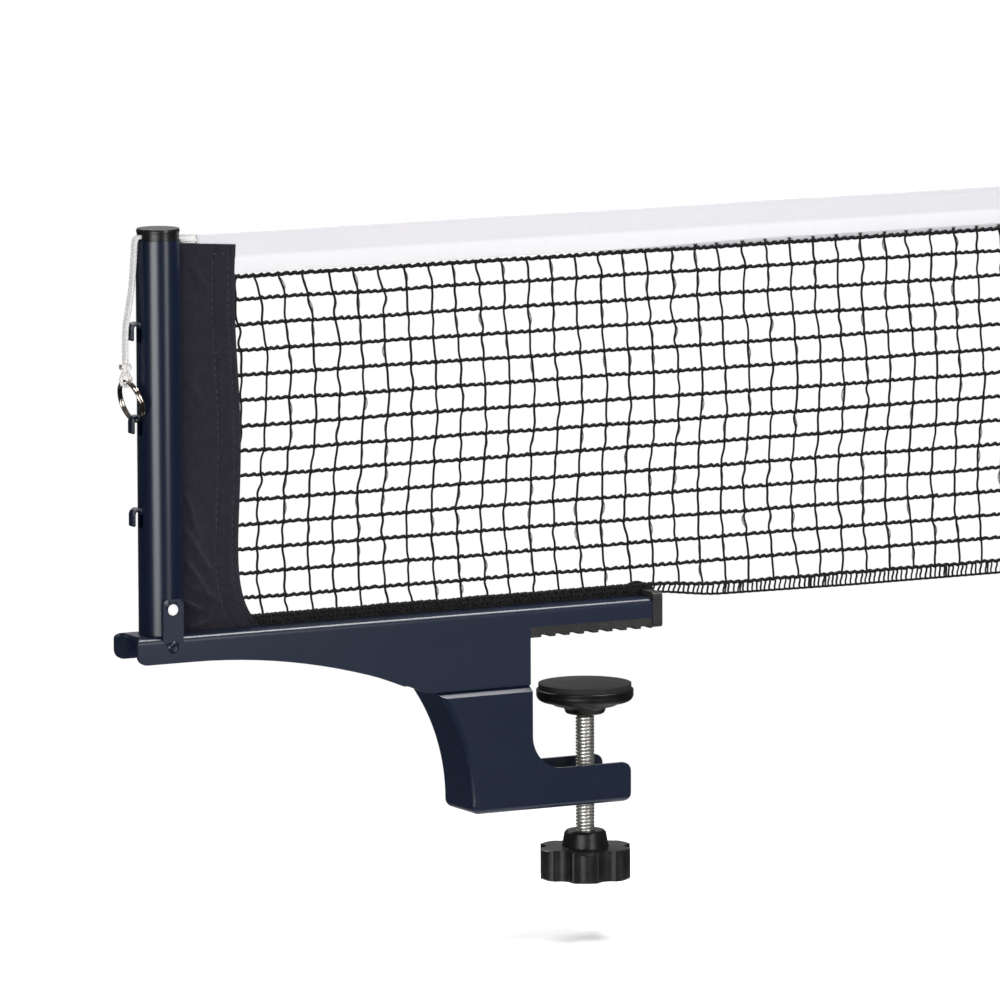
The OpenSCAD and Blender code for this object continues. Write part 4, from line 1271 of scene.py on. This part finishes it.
# %% Rolled rivet
centre = middle_mm("foot_rivet")
half = box_mm("foot_rivet")[1].y - centre.y
head = [(0.02, 0.44), (0.35, 0.42), (0.58, 0.34), (0.78, 0.18), (0.98, 0.06), (1.22, 0.0),
        (1.48, 0.02), (1.72, 0.10), (1.92, 0.24), (2.08, 0.40), (2.20, 0.5), (1.60, 0.52)]
outline = [(r, half - drop) for r, drop in head]
outline += [(r, -y) for r, y in reversed(outline)]
mesher = Mesher()
turned(mesher, outline, lambda a, r, y: centre + Vector((r * cos(a), y, r * sin(a))))
mesher.build("rolled_rivet", [rivet_paint], "frame", "slate_paint", "foot_rivet")

# %% Pressure pad
pad_low, pad_high = box_mm("pressure_pad")
rim, low, top = (pad_high.x - pad_low.x) / 2, pad_low.z, pad_high.z
under, hub_top, bore = top - 4.6, top - 6.6, 2.6
outline = [(bore, low), (5.9, low)] + arc((6.2, low + 1.1), 1.1, -90, -12)
outline += [(7.6, low + 1.7), (8.0, hub_top - 0.1), (8.4, hub_top)]
outline += [(11.5, hub_top + 0.62), (14.2, under + 0.1)]
outline += arc((rim - 2.5, under + 2.55), 2.5, -70, -4)
outline += [(rim, under + 2.6), (rim - 0.02, top - 0.5)]
outline += arc((rim - 0.45, top - 0.45), 0.45, 0, 90, 4)
outline += [(rim - 0.7, top), (rim - 0.85, top - 0.12), (bore, top - 0.12)]
mesher = Mesher()
turned(mesher, outline, lambda a, r, z: Vector((r * cos(a), -r * sin(a), z)), FINE_SIDES)
mesher.build("moulded_pad", [black_nylon], "pad", "black_plastic", "pressure_pad")

# %% [markdown]
# ## The model's own pieces
# The other rigid pieces keep their shapes. Their meshes come in split along every edge, so a weld
# joins them first, a bevel softens the edges by what paint or a mould would leave, and weighted
# normals keep the flats flat. Modifiers leave the mesh itself as it came.

# %% Softened pieces
def dress(node, finish, width):
    """Gives a node of the model its finish and rounds its edges by this many millimetres."""
    piece = nodes[node]
    piece.data.materials.clear()
    piece.data.materials.append(finish)
    weld = piece.modifiers.new("weld", "WELD")
    weld.merge_threshold = 0.001 * MM
    bevel = piece.modifiers.new("bevel", "BEVEL")
    bevel.width = width * MM
    bevel.segments = 2
    bevel.limit_method = "ANGLE"
    bevel.angle_limit = radians(32)
    bevel.use_clamp_overlap = True
    normals = piece.modifiers.new("normals", "WEIGHTED_NORMAL")
    normals.keep_sharp = False


PIECES = {"upper_bracket": (flange_paint, 0.25), "lower_jaw": (jaw_paint, 0.25),
          "post_tube": (post_paint, 0.12), "jaw_nut": (zinc_plate, 0.3),
          "post_cap": (cap_nylon, 0.12), "locating_peg": (white_nylon, 0.2),
          "table_liner": (grey_nylon, 0.15), "liner_end_cap": (grey_nylon, 0.3),
          "pad_facing": (facing_rubber, 0.2), "pad_circlip": (zinc_plate, 0.08),
          "knob": (black_nylon, 0.15), "net_rod": (zinc_plate, 0.3),
          "far_rod": (zinc_plate, 0.3)}
for node, (finish, width) in PIECES.items():
    dress(node, finish, width)
print("dressed and softened:", ", ".join(PIECES))

# %% [markdown]
# ## Sizes
# The dressed clamp must be as big as the model. Both boxes go to a small file, so that they can be
# compared after each run.

# %% Compare sizes
seen_low, seen_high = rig.bounds()
with open("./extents.json", "w") as file:
    json.dump({"cad": [list(cad_low), list(cad_high)], "visual": [list(seen_low), list(seen_high)]}, file)
print("model", [round(v / MM, 1) for v in cad_high - cad_low], "mm, dressed",
      [round(v / MM, 1) for v in seen_high - seen_low], "mm")
